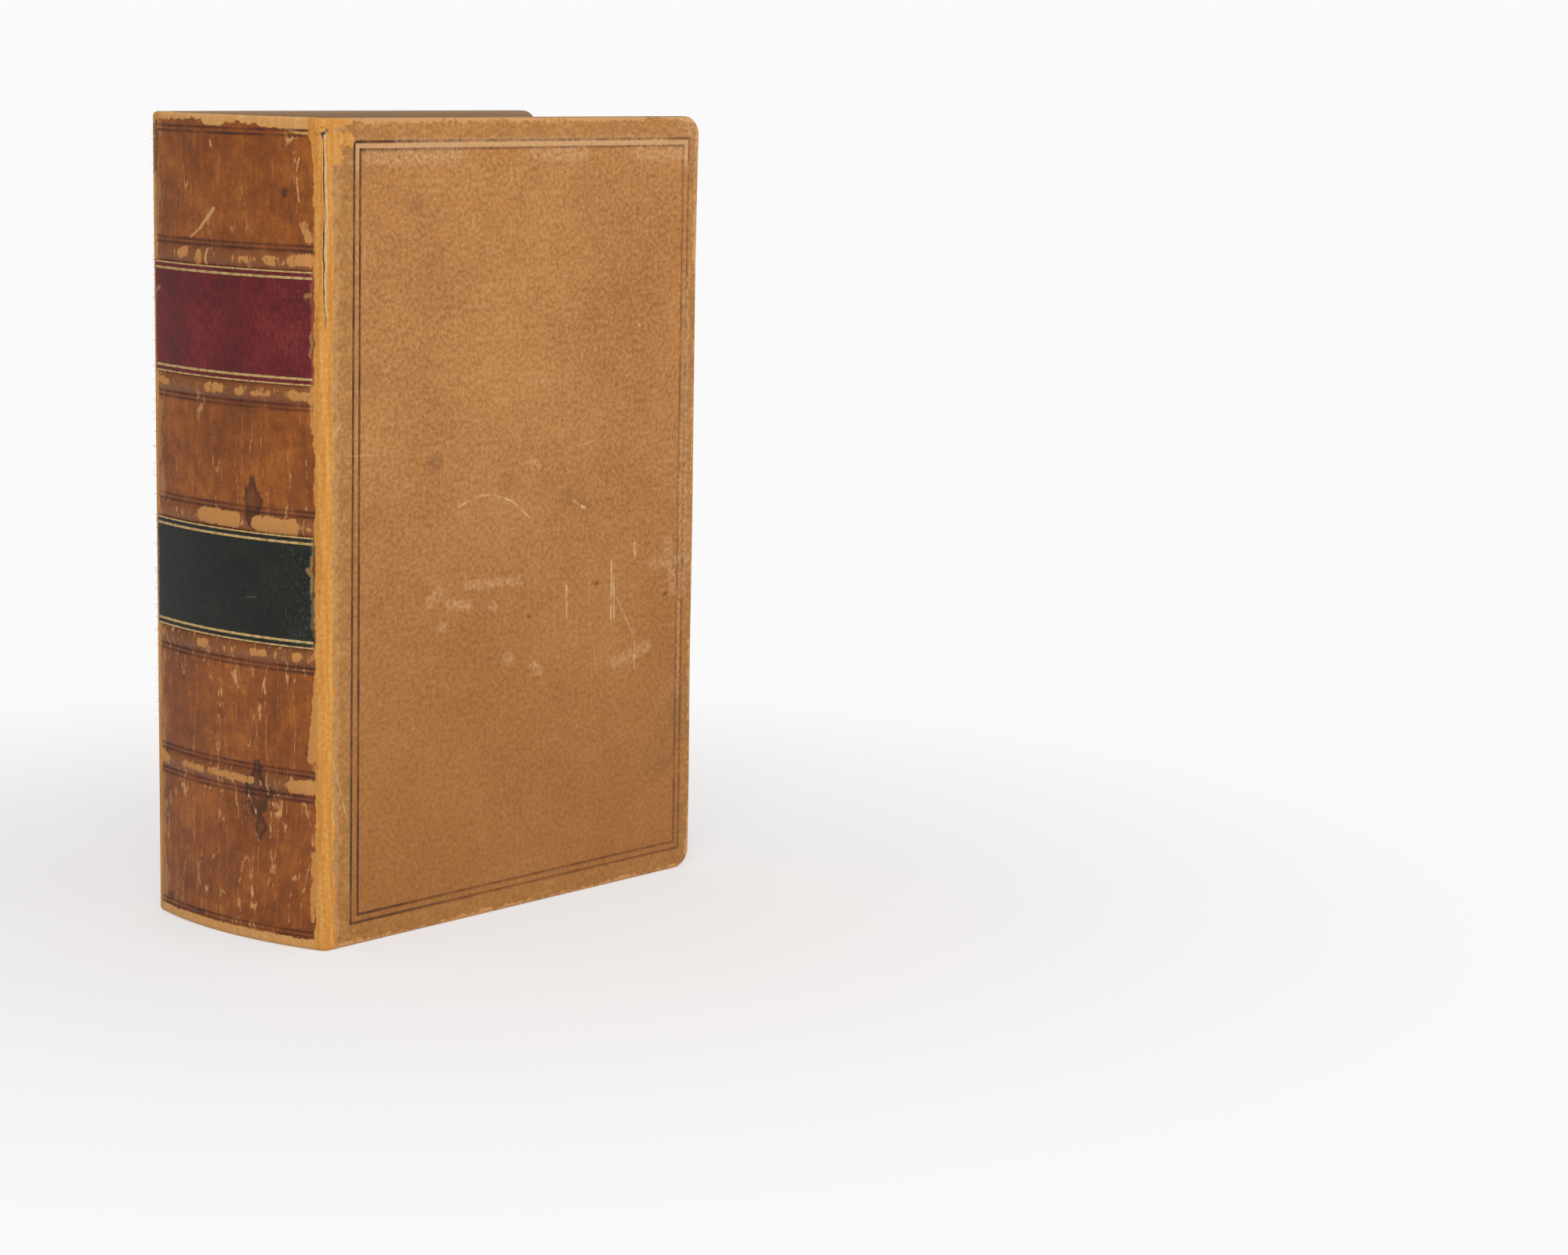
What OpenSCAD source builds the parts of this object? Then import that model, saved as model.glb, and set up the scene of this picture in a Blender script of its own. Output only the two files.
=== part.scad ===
// A thick antique law book in full leather over a hollow back, standing closed on its tail.
// The spine faces -X, the fore-edge +X, the front cover -Y and the back cover +Y.
// X is measured from the joint line, where the spine's arc would meet the cover planes,
// and the whole book is shifted at the end so that its box is centred on the origin.

/* [Book] */
// Height of the covers, from tail to head
book_h = 254; // [200:1:320]
// Width of a cover, from the joint line to the fore-edge
cover_w = 166.5; // [130:0.5:210]
// Thickness of the closed book over its covers
book_t = 79; // [55:0.5:105]
// How far the rounded spine bulges behind the joint line
spine_bulge = 6; // [4:0.5:9]

/* [Covers] */
// Thickness of the board in each cover
board_t = 2.6; // [2:0.1:3.5]
// Thickness of the covering leather
leather_t = 0.8; // [0.6:0.05:1]
// Width of the leather that is turned in over the boards and the spine
turn_in = 14; // [9:0.5:17]
// Radius of the worn fore-edge corners of a cover
corner_r = 6; // [4:0.5:9]
// Radius of the soft edge that the leather makes round a board
edge_r = 1.5; // [1:0.1:1.8]
// How far the covers stand out past the text block at head, tail and fore-edge
square = 3.5; // [2.5:0.1:5]
// Radius on which the leather turns from the spine to a cover
joint_r = 3.2; // [3.1:0.1:4.5]
// How far the leather of a joint is worn back at head and tail
joint_nick = 2; // [1.5:0.1:4]
// Distance from the joint line to the inner edge of a board
board_setback = 6.2; // [5.6:0.1:8]

/* [Hinge] */
// Angle from the cover's normal to the crease on which the leather bends
crease_angle = 35; // [25:1:45]
// Width of the crease between the spine leather and the cover leather
crease_gap = 0.3; // [0.25:0.01:0.4]
// How far the hinge axis stands proud of the leather
hinge_proud = 0.2; // [0.1:0.05:0.4]

/* [Endpapers] */
// Thickness of an endpaper
paper_t = 0.2; // [0.1:0.05:0.3]
// Leather left bare round the pastedown
pastedown_margin = 5; // [3:0.5:8]
// Room between the pastedown and the flyleaf when the book is closed
cover_gap = 0.3; // [0.3:0.05:0.6]

/* [Text block] */
// Depth of the hollow fore-edge
fore_hollow = 4.7; // [2:0.1:8]
// Width of the shoulder's tip beside the joint
shoulder_tip = 1.2; // [0.8:0.1:1.6]
// Room between the shoulder and the leather of the joint
shoulder_gap = 0.5; // [0.4:0.05:0.8]
// Room between the shoulder and the board's inner edge
board_gap = 0.4; // [0.3:0.05:0.6]
// Width of a sewing tape
tape_w = 10; // [6:0.5:14]
// Thickness of a sewing tape
tape_t = 0.4; // [0.3:0.05:0.6]
// Radius of the wound core of an endband
endband_r = 1.1; // [0.8:0.05:1.5]
// Depth of the glued skirt below an endband
endband_skirt = 14; // [8:0.5:18]

/* [Spine] */
// Thickness of the card that stiffens the spine
card_t = 1.4; // [1:0.1:1.8]
// Thickness of the green cloth that lines the spine piece
cloth_t = 0.3; // [0.2:0.05:0.4]
// Open space of the hollow back at its narrowest
hollow_gap = 0.3; // [0.3:0.05:0.8]
// Thickness of the paper glued over the back of the block
back_paper_t = 0.3; // [0.2:0.05:0.4]
// Thickness of the open cotton mull glued to the back of the block
mull_t = 0.3; // [0.2:0.05:0.4]
// Distance from the end of the spine's arc to the edge of its card
card_inset = 1.8; // [1:0.1:3]
// Distance from the head or tail to the edge of the green cloth
cloth_inset = 2.5; // [2:0.5:6]
// Room for the glue between the card and the green cloth
glue_gap = 0.04; // [0.03:0.01:0.1]

/* [Raised bands] */
// Height of the lowest band's middle above the tail
band_base = 51.2; // [42:0.2:60]
// Distance from one band to the next
band_pitch = 40; // [34:0.5:46]
// Width of a band at the leather's surface
band_w = 5.4; // [4.6:0.1:7]
// Height of a band above the leather's surface
band_h = 1.0; // [0.7:0.05:1.3]
// Distance from the end of the spine's arc to the end of a band
band_inset = 2; // [2:0.1:4]
// Slope on which the ends of a band die away
band_slope = 28; // [20:1:45]

/* [Labels and tooling] */
// Thickness of a leather label
label_t = 0.35; // [0.2:0.05:0.5]
// Distance from the end of the spine's arc to the end of a label
label_inset = 1.0; // [0.5:0.1:4]
// Clearance between a label and the bands above and below it
label_gap = 0.1; // [0.05:0.05:0.3]
// Width of a blind line
line_w = 0.6; // [0.4:0.05:0.9]
// Depth of a blind line
line_depth = 0.25; // [0.15:0.05:0.3]
// Distance between the two lines of a pair
line_step = 1.5; // [1.2:0.1:2.5]
// Distance from a band's edge to the nearer line beside it
line_offset = 0.15; // [0.1:0.05:1.5]
// Distance from the end of the spine's arc to the end of a blind line
line_inset = 3; // [2.5:0.1:6]
// Height from the head or tail to the outer line across the spine
end_line = 4; // [3:0.1:6]
// Distance from the joint line to the outer line of the cover's frame
frame_left = 12; // [11:0.5:16]
// Distance from head and tail to the outer line of the cover's frame
frame_edge = 6.9; // [6:0.1:9]
// Distance from the fore-edge to the outer line of the cover's frame
frame_fore = 4.95; // [4:0.05:5.3]
// Distance between the two lines of the cover's frame
frame_step = 2.4; // [1.8:0.1:3.2]

/* [Hidden] */
$fn = 96;
arc_fn = 720;
eps = 0.01;

band_count = 5;
tape_count = 4;
// Bands counted from the tail: the space above each of these carries a label
label_spaces = [2, 4];

// The spine's outer surface is an arc about a vertical axis on y = 0
spine_r = (pow(book_t / 2, 2) + pow(spine_bulge, 2)) / (2 * spine_bulge);
spine_x = spine_r - spine_bulge;
// The small arc of the joint is tangent to the spine's arc and to the cover
joint_y = book_t / 2 - joint_r;
joint_angle = asin(joint_y / (spine_r - joint_r));
joint_x = spine_x - (spine_r - joint_r) * cos(joint_angle);
crease_half = asin(crease_gap / 2 / joint_r);
hinge_r = joint_r + hinge_proud;

// Layers of the spine, from the outside in
fold_t = 2 * leather_t + card_t;
cloth_r = spine_r - fold_t;
back_r = cloth_r - cloth_t - hollow_gap - back_paper_t - mull_t;

cover_t = board_t + 2 * leather_t;
face_y = book_t / 2 - cover_t - 2 * paper_t - cover_gap;
fore_x = cover_w - square;
tip_y = book_t / 2 - leather_t - shoulder_gap;
tip_x = spine_x - sqrt(pow(back_r, 2) - pow(tip_y, 2));
mull_end = square + endband_skirt;

band_r = (pow(band_w / 2, 2) + pow(band_h, 2)) / (2 * band_h);
tape_pitch = book_h / (tape_count + 1);
band_angle = joint_angle - spine_angle(band_inset);
label_h = band_pitch - band_w - 2 * label_gap;

// The middle of the book's box along X, which moves to the origin
centre_x = (cover_w - spine_bulge - band_h) / 2;

// Angle about the spine's axis that spans a length of its arc
function spine_angle(length) = length / spine_r * 180 / PI;
function band_z(i) = band_base + (i - 1) * band_pitch;
function is_labelled(space) = len([for (s = label_spaces) if (s == space) s]) > 0;
// Heights of the blind lines across the spine: a pair on each side of a band that has no
// label, and a pair near the head and the tail
function spine_line_z() = concat(
    [for (i = [1:band_count], side = [-1, 1], k = [0, 1])
        if (!is_labelled(side > 0 ? i : i - 1))
            band_z(i) + side * (band_w / 2 + line_offset + line_w / 2 + k * line_step)],
    [for (k = [0, 1]) end_line + k * line_step],
    [for (k = [0, 1]) book_h - end_line - k * line_step]);

// Revolves a section of radius and height about the spine's axis, between two angles that
// are measured from the middle of the spine towards the front cover
module spine_revolve(from, to) {
    translate([spine_x, 0, 0])
        rotate_extrude(angle = to - from, start = 180 + from, $fn = arc_fn) children();
}

// A section with round ends, from the outer surface at x = 0 inwards
module round_bar(thickness, low, high) {
    r = thickness / 2;
    translate([-thickness, low + r]) square([thickness, high - low - 2 * r]);
    for (z = [low + r, high - r]) translate([-r, z]) circle(r);
}

// The leather of the spine cut along its height: the skin, and the turn-ins folded over
// the ends of the card
module spine_fold_section() {
    difference() {
        round_bar(fold_t, 0, book_h);
        translate([-leather_t, 0]) round_bar(card_t, leather_t, book_h - leather_t);
        translate([-fold_t - eps, turn_in])
            square([leather_t + eps, book_h - 2 * turn_in]);
    }
}

// The single skin of leather at a joint, worn back at head and tail
module skin_section() {
    translate([-leather_t, joint_nick]) square([leather_t, book_h - 2 * joint_nick]);
}

// The plan of a raised band's ramps: a triangle whose sides pass through the spine's arc of
// a radius at an angle, and cut both ends of the band to a slope
module band_plan(radius, end_angle) {
    turn = end_angle + band_slope;
    foot = 2 * leather_t / sin(band_slope);
    x = spine_x - radius * cos(end_angle);
    y = radius * sin(end_angle);
    polygon([[x + foot * sin(turn), -y - foot * cos(turn)],
        [x + foot * sin(turn), y + foot * cos(turn)], [x - y * tan(turn), 0]]);
}

// A raised band: a segment of a circle that is revolved along the spine and ramped. Its
// underside lies at a depth below the spine's surface.
module band_form(i, radius, depth, plan_radius, end_angle) {
    intersection() {
        spine_revolve(-joint_angle, joint_angle)
            intersection() {
                translate([spine_r + band_h - band_r, band_z(i)]) circle(radius);
                translate([spine_r - depth, 0]) square([3 * band_h, book_h]);
            }
        linear_extrude(book_h) band_plan(plan_radius, end_angle);
    }
}

module band_skin(i) { band_form(i, band_r, leather_t / 2, spine_r, band_angle); }

// The strip lies one leather below the band's surface, on its ramps too
module band_strip_form(i, depth) {
    band_form(i, band_r - leather_t, depth, spine_r - leather_t,
        band_angle - spine_angle(leather_t * tan(band_slope / 2)));
}

module spine_leather() {
    card_angle = joint_angle - spine_angle(card_inset);
    line_angle = joint_angle - spine_angle(line_inset);
    color("#8a5630") difference() {
        union() {
            spine_revolve(-card_angle, card_angle)
                translate([spine_r, 0]) spine_fold_section();
            for (side = [0, 1]) mirror([0, side, 0]) {
                spine_revolve(card_angle, joint_angle)
                    translate([spine_r, 0]) skin_section();
                translate([joint_x, -joint_y, 0])
                    rotate_extrude(start = 180 + joint_angle,
                            angle = 90 - joint_angle - crease_angle - crease_half)
                        translate([joint_r, 0]) skin_section();
            }
            for (i = [1:band_count]) band_skin(i);
        }
        for (i = [1:band_count]) band_strip_form(i, leather_t + card_t / 2);
        spine_revolve(-line_angle, line_angle)
            for (z = spine_line_z())
                translate([spine_r - line_depth, z - line_w / 2])
                    square([2 * line_depth, line_w]);
    }
}

module band_strip(i) {
    color("#a08c68") band_strip_form(i, leather_t);
}

module spine_stiffener() {
    card_angle = joint_angle - spine_angle(card_inset);
    color("#9a8560")
        spine_revolve(-card_angle, card_angle)
            translate([spine_r - leather_t, 0])
                round_bar(card_t, leather_t, book_h - leather_t);
}

// Green cloth that lies over the turn-ins and steps down onto the card between them
module spine_cloth_lining() {
    cloth_angle = joint_angle - spine_angle(card_inset);
    color("#28503c")
        spine_revolve(-cloth_angle, cloth_angle)
            difference() {
                translate([cloth_r - cloth_t, cloth_inset])
                    square([cloth_t + leather_t - glue_gap, book_h - 2 * cloth_inset]);
                translate([cloth_r - cloth_t - eps, turn_in + cloth_t])
                    square([leather_t + eps, book_h - 2 * (turn_in + cloth_t)]);
                for (z = [cloth_inset - eps, book_h - turn_in])
                    translate([cloth_r, z])
                        square([leather_t + eps, turn_in - cloth_inset + eps]);
            }
}

// A label fills the space between two bands
module label(space) {
    label_angle = joint_angle - spine_angle(label_inset);
    spine_revolve(-label_angle, label_angle)
        translate([spine_r, band_z(space) + band_w / 2 + label_gap])
            square([label_t, label_h]);
}

module title_label() { color("#5f2130") label(label_spaces[1]); }

module author_label() { color("#2a2e28") label(label_spaces[0]); }

// The block is rounded and backed: its back follows the spine, its shoulders flare over
// the edges of the boards, and its fore-edge is hollow
module text_block() {
    fore_r = (pow(face_y, 2) + pow(fore_hollow, 2)) / (2 * fore_hollow);
    shoulder = [[-spine_bulge, tip_y], [tip_x + shoulder_tip, tip_y],
        [board_setback - board_gap, face_y], [fore_x, face_y]];
    back = [for (i = [len(shoulder) - 1:-1:0]) [shoulder[i][0], -shoulder[i][1]]];
    color("#c9a878") difference() {
        translate([0, 0, square]) linear_extrude(book_h - 2 * square) difference() {
            intersection() {
                polygon(concat(shoulder, back));
                translate([spine_x, 0]) circle(back_r, $fn = arc_fn);
            }
            translate([fore_x + fore_r - fore_hollow, 0]) circle(fore_r, $fn = arc_fn);
        }
        for (i = [1:tape_count]) sewing_tape_form(i);
    }
}

module sewing_tape_form(i) {
    spine_revolve(-joint_angle, joint_angle)
        translate([back_r - tape_t, i * tape_pitch - tape_w / 2]) square([tape_t, tape_w]);
}

module sewing_tape(i) { color("#cfc3a2") sewing_tape_form(i); }

// A cord wound with silk lies on the end of the block, and its skirt is glued down the back
module endband() {
    endband_angle = joint_angle - spine_angle(card_inset);
    spine_revolve(-endband_angle, endband_angle) {
        translate([back_r - endband_r / 2, square - endband_r]) circle(endband_r);
        translate([back_r, square - endband_r]) square([mull_t, endband_skirt + endband_r]);
    }
}

module tail_endband() { color("#a0402f") endband(); }

module head_endband() {
    color("#a0402f") translate([0, 0, book_h]) mirror([0, 0, 1]) endband();
}

// The mull lies between the skirts of the endbands
module spine_mull() {
    color("#d8cfae")
        spine_revolve(-joint_angle, joint_angle)
            translate([back_r, mull_end]) square([mull_t, book_h - 2 * mull_end]);
}

// Paper over the mull and the skirts
module spine_paper_lining() {
    paper_angle = joint_angle - spine_angle(card_inset);
    color("#b59a6a")
        spine_revolve(-paper_angle, paper_angle)
            translate([back_r + mull_t, square]) square([back_paper_t, book_h - 2 * square]);
}

// Stands an outline of X and Z up as a sheet of the front cover, at a depth below its face
module sheet(depth, thickness) {
    translate([0, -book_t / 2 + depth + thickness, 0])
        rotate([90, 0, 0]) linear_extrude(thickness) children();
}

// A cover's outline from the board's inner edge, with its fore-edge corners rounded
module cover_outline(inset) {
    r = corner_r - inset;
    translate([board_setback, inset])
        square([cover_w - corner_r - board_setback, book_h - 2 * inset]);
    translate([cover_w - corner_r, corner_r]) square([r, book_h - 2 * corner_r]);
    for (z = [corner_r, book_h - corner_r]) translate([cover_w - corner_r, z]) circle(r);
}

// The rim of a cover cut across: square inwards, and rounded outwards at both faces
module rim_section() {
    square([corner_r - edge_r, cover_t]);
    translate([0, edge_r]) square([corner_r, cover_t - 2 * edge_r]);
    for (y = [edge_r, cover_t - edge_r]) translate([corner_r - edge_r, y]) circle(edge_r);
}

// A cover's whole form with its soft rim along head, tail and fore-edge
module cover_form() {
    length = cover_w - corner_r - board_setback;
    sheet(0, cover_t) translate([board_setback, corner_r])
        square([length, book_h - 2 * corner_r]);
    translate([cover_w - corner_r, -book_t / 2, corner_r])
        linear_extrude(book_h - 2 * corner_r) rim_section();
    for (end = [0, 1]) translate([cover_w - corner_r, 0, end * book_h])
        mirror([0, 0, end]) translate([0, 0, corner_r]) {
            translate([0, -book_t / 2, 0]) mirror([0, 0, 1]) rotate([0, -90, 0])
                linear_extrude(length) rim_section();
            translate([0, -book_t / 2 + cover_t, 0]) rotate([90, 0, 0])
                rotate_extrude(angle = 90, start = 270) rim_section();
        }
}

// The leather of the joint: a flat strip from the board to the small arc, and the arc as
// far as the crease
module joint_strip() {
    translate([joint_x, -book_t / 2, 0]) mirror([0, 1, 0]) rotate([90, 0, 90])
        linear_extrude(board_setback - joint_x) skin_section();
    translate([joint_x, -joint_y, 0])
        rotate_extrude(start = 270 - crease_angle + crease_half,
                angle = crease_angle - crease_half)
            translate([joint_r, 0]) skin_section();
}

// The board, with a raised field that fills the space between the turn-ins
module board_form() {
    sheet(leather_t, board_t) cover_outline(leather_t);
    sheet(leather_t + board_t, leather_t) translate([board_setback, turn_in])
        square([cover_w - turn_in - board_setback, book_h - 2 * turn_in]);
}

// The two blind lines that frame the cover
module frame_lines() {
    sheet(-line_depth, 2 * line_depth)
        for (k = [0, 1]) difference() {
            frame_field(k * frame_step);
            frame_field(k * frame_step + line_w);
        }
}

module frame_field(inset) {
    translate([frame_left + inset, frame_edge + inset])
        square([cover_w - frame_left - frame_fore - 2 * inset,
            book_h - 2 * (frame_edge + inset)]);
}

module cover_leather() {
    color("#b8804c") difference() {
        union() {
            cover_form();
            joint_strip();
        }
        board_form();
        frame_lines();
    }
}

module cover_board() { color("#8f7a58") board_form(); }

module pastedown() {
    color("#e2d2ae")
        sheet(cover_t, paper_t) translate([board_setback, pastedown_margin])
            square([cover_w - pastedown_margin - board_setback,
                book_h - 2 * pastedown_margin]);
}

module flyleaf() {
    color("#e2d2ae")
        sheet(cover_t + paper_t + cover_gap, paper_t)
            translate([board_setback, square])
                square([fore_x - board_setback, book_h - 2 * square]);
}

// The pieces of the back cover are those of the front cover, mirrored
module back_side() { mirror([0, 1, 0]) children(); }

translate([-centre_x, 0, 0]) {
    text_block();
    head_endband();
    tail_endband();
    spine_mull();
    spine_paper_lining();
    for (i = [1:tape_count])
        sewing_tape(i);
    spine_leather();
    spine_stiffener();
    spine_cloth_lining();
    title_label();
    author_label();
    for (i = [1:band_count])
        band_strip(i);
    cover_leather();  // front_leather
    cover_board();  // front_board
    pastedown();  // front_pastedown
    flyleaf();  // front_flyleaf
    back_side() cover_leather();  // back_leather
    back_side() cover_board();  // back_board
    back_side() pastedown();  // back_pastedown
    back_side() flyleaf();  // back_flyleaf
}
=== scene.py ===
"""An antique law book in full calf over a hollow back, standing closed on its tail.

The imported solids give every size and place. This script dresses them: the leather, the labels,
the endbands, the page edges and the papers are modelled here as meshes that stand for the solids,
and the pieces inside keep the solids' own shape. Lengths are in millimetres up to the last step,
where MM turns them to metres.
"""
import math

import bmesh
import bpy
import numpy as np
from mathutils import Matrix, Vector


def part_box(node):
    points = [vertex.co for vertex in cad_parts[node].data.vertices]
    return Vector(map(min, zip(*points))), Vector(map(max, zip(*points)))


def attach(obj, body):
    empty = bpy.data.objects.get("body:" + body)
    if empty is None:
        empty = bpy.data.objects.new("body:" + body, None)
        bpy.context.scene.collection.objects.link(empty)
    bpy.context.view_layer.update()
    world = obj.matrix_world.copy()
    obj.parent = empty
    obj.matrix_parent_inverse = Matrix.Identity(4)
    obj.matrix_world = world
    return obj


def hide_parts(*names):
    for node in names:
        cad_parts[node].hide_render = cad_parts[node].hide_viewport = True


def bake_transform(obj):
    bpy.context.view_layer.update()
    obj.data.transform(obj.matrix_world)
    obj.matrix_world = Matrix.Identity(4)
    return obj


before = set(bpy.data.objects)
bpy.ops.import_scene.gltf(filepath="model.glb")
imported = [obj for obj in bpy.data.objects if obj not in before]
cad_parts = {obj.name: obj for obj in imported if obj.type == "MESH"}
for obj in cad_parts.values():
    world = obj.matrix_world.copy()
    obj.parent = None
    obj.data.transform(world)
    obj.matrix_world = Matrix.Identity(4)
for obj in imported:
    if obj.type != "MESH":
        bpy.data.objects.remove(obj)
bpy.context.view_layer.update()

MM = 0.001


def solid_box(node):
    """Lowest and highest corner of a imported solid, in millimetres."""
    low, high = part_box(node)
    return low / MM, high / MM


# The binding's own sizes
LEATHER = 0.8
EDGE_RADIUS = 1.5
CORNER_RADIUS = 6.0
TURN_IN = 14.0
BOARD_SETBACK = 6.2
JOINT_RADIUS = 3.2
BAND_HEIGHT = 1.0
BAND_WIDTH = 5.4
BAND_BASE = 51.2
BAND_PITCH = 40.0
BAND_COUNT = 5
BAND_INSET = 2.0
CARD_INSET = 1.8
LABEL_INSET = 1.0
LABEL_THICKNESS = 0.35
LINE_WIDTH = 0.6
LINE_DEPTH = 0.25
# The blind lines of the spine: clear of a band, between the two of a pair, and at the ends
LINE_CLEAR = 0.45
LINE_STEP = 1.5
END_LINE = 4.0
# Spaces between bands that hold a label and so have no blind lines
LABEL_SPACES = (2, 4)
# Gilt lines of a label: distance from its edge and half the width
GILT_LINES = ((0.35, 0.3), (2.1, 0.45))
SECTION_THICKNESS = 1.92
FORE_HOLLOW = 4.7
ENDBAND_RADIUS = 1.1

# Places that the solids give
cover_low, cover_high = solid_box("front_leather")
HEIGHT = cover_high.z
EDGE_X = cover_high.x
HALF = -cover_low.y
COVER_THICKNESS = HALF + solid_box("front_pastedown")[0].y
JOINT_LINE = solid_box("front_board")[0].x - BOARD_SETBACK
COVER_WIDTH = EDGE_X - JOINT_LINE
SPINE_BULGE = JOINT_LINE - solid_box("spine_leather")[0].x - BAND_HEIGHT

# The spine is an arc about an upright axis, and a small arc turns it into each cover
SPINE_RADIUS = (HALF ** 2 + SPINE_BULGE ** 2) / (2 * SPINE_BULGE)
SPINE_AXIS = JOINT_LINE - SPINE_BULGE + SPINE_RADIUS
END_ANGLE = math.asin(HALF / SPINE_RADIUS)
SPINE_ARC = 2 * SPINE_RADIUS * END_ANGLE
JOINT_ANGLE = math.asin((HALF - JOINT_RADIUS) / (SPINE_RADIUS - JOINT_RADIUS))
JOINT_X = SPINE_AXIS - (SPINE_RADIUS - JOINT_RADIUS) * math.cos(JOINT_ANGLE)
JOINT_BACK = SPINE_RADIUS * (END_ANGLE - JOINT_ANGLE)
JOINT_FLAT = JOINT_X - JOINT_LINE

# The cover's skin runs on over the joint to this distance from the joint line
SEAM = 3.2
# The blind lines that frame a cover: distance from the joint line, and from the other edges
FRAME_LINES = (
    {"left": 11.4, "right": 161.25, "end": 7.2},
    {"left": 14.05, "right": 158.85, "end": 9.6},
)
# How far the frame leans at its head, past the upright, at these distances from the joint line
LEAN_AT = (4.0, 11.4, 14.05, 40.0, 140.0, 158.85, 161.25, 166.0)
LEAN_BY = (0.0, 1.1, 0.75, 0.0, 0.0, 0.3, 0.45, 0.0)
# How far the fore-edge of a cover has worn and swelled, at these heights
WORN_AT = (0.0, 30.0, 75.0, 120.0, 165.0, 205.0, 222.0, 240.0, 249.0, 254.0)
WORN_BY = (0.45, 0.65, 0.3, 0.6, 0.4, 0.3, 0.5, 0.8, 1.0, 0.6)
# The split in the front joint
SPLIT_LOW = 192.0
SPLIT_HIGH = 251.6
SPLIT_AT = 0.3

# Camera, fitted to the photograph's frame of 2000 x 1601 pixels
CAMERA_PLACE = (-800.7, -832.1, 277.1)
CAMERA_AZIMUTH = -49.74
CAMERA_ELEVATION = 9.263
CAMERA_ROLL = 1.071
CAMERA_LENS = 81.7
SENSOR_WIDTH = 36.0

# Colours of the finishes
TAN = "#b97d42"


def placed_object(name, data):
    """A new object that is in the scene."""
    made = bpy.data.objects.new(name, data)
    bpy.context.scene.collection.objects.link(made)
    return made


def tint(code):
    """A colour written as sRGB hex, as the linear RGBA that nodes take."""
    channels = [int(code[i:i + 2], 16) / 255 for i in (1, 3, 5)]
    linear = [c / 12.92 if c <= 0.04045 else ((c + 0.055) / 1.055) ** 2.4 for c in channels]
    return (*linear, 1.0)


def add(tree, kind, links=None, out=None, **settings):
    """Adds a node, sets it, links or fills its inputs by identifier or name, and returns the
    output that is named, or else the first one in use."""
    node = tree.nodes.new(kind)
    for name, value in settings.items():
        setattr(node, name, value)
    for name, value in (links or {}).items():
        named = [s for s in node.inputs if s.identifier == name]
        socket = (named or [s for s in node.inputs if s.name == name])[0]
        if isinstance(value, bpy.types.NodeSocket):
            tree.links.new(value, socket)
        else:
            socket.default_value = value
    if out:
        return [s for s in node.outputs if out in (s.identifier, s.name)][0]
    return next((s for s in node.outputs if s.enabled), None)


def calc(tree, operation, *values):
    """A Math node on one, two or three values."""
    inputs = dict(zip(("Value", "Value_001", "Value_002"), values))
    return add(tree, "ShaderNodeMath", inputs, operation=operation)


def new_material(name, **constants):
    """A material with one Principled shader, whose plain values are set on its own sockets."""
    material = bpy.data.materials.new(name)
    material.use_nodes = True
    shader = material.node_tree.nodes["Principled BSDF"]
    for socket, value in constants.items():
        shader.inputs[socket.replace("_", " ")].default_value = value
    return material, material.node_tree, shader


def paint(tree, colour, layers):
    """Lays colours over each other, each where its mask is and as strongly as it says."""
    for mask, shade, strength in layers:
        part = calc(tree, "MULTIPLY", mask, strength)
        colour = add(tree, "ShaderNodeMix", {"Factor_Float": part, "A_Color": colour,
                     "B_Color": tint(shade) if isinstance(shade, str) else shade},
                     data_type="RGBA")
    return colour


def relief(tree, shader, height, strength, depth):
    """Gives a shader fine relief, from a height and its depth in millimetres."""
    bump = add(tree, "ShaderNodeBump", {"Height": height, "Strength": strength,
               "Distance": depth * MM})
    tree.links.new(bump, shader.inputs["Normal"])


def ramp(tree, factor, stops):
    """A colour ramp with hex colours at its stops."""
    colour = add(tree, "ShaderNodeValToRGB", {"Fac": factor})
    elements = colour.node.color_ramp.elements
    while len(elements) < len(stops):
        elements.new(0.5)
    for element, (place, shade) in zip(elements, stops):
        element.position = place
        element.color = tint(shade)
    return colour


def between(tree, value, low, high):
    """A mask that is 0 at low and 1 at high, with a smooth step. High may be the lower one."""
    return add(tree, "ShaderNodeMapRange", {"Value": value, "From Min": low, "From Max": high},
               interpolation_type="SMOOTHSTEP", clamp=False)


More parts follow.
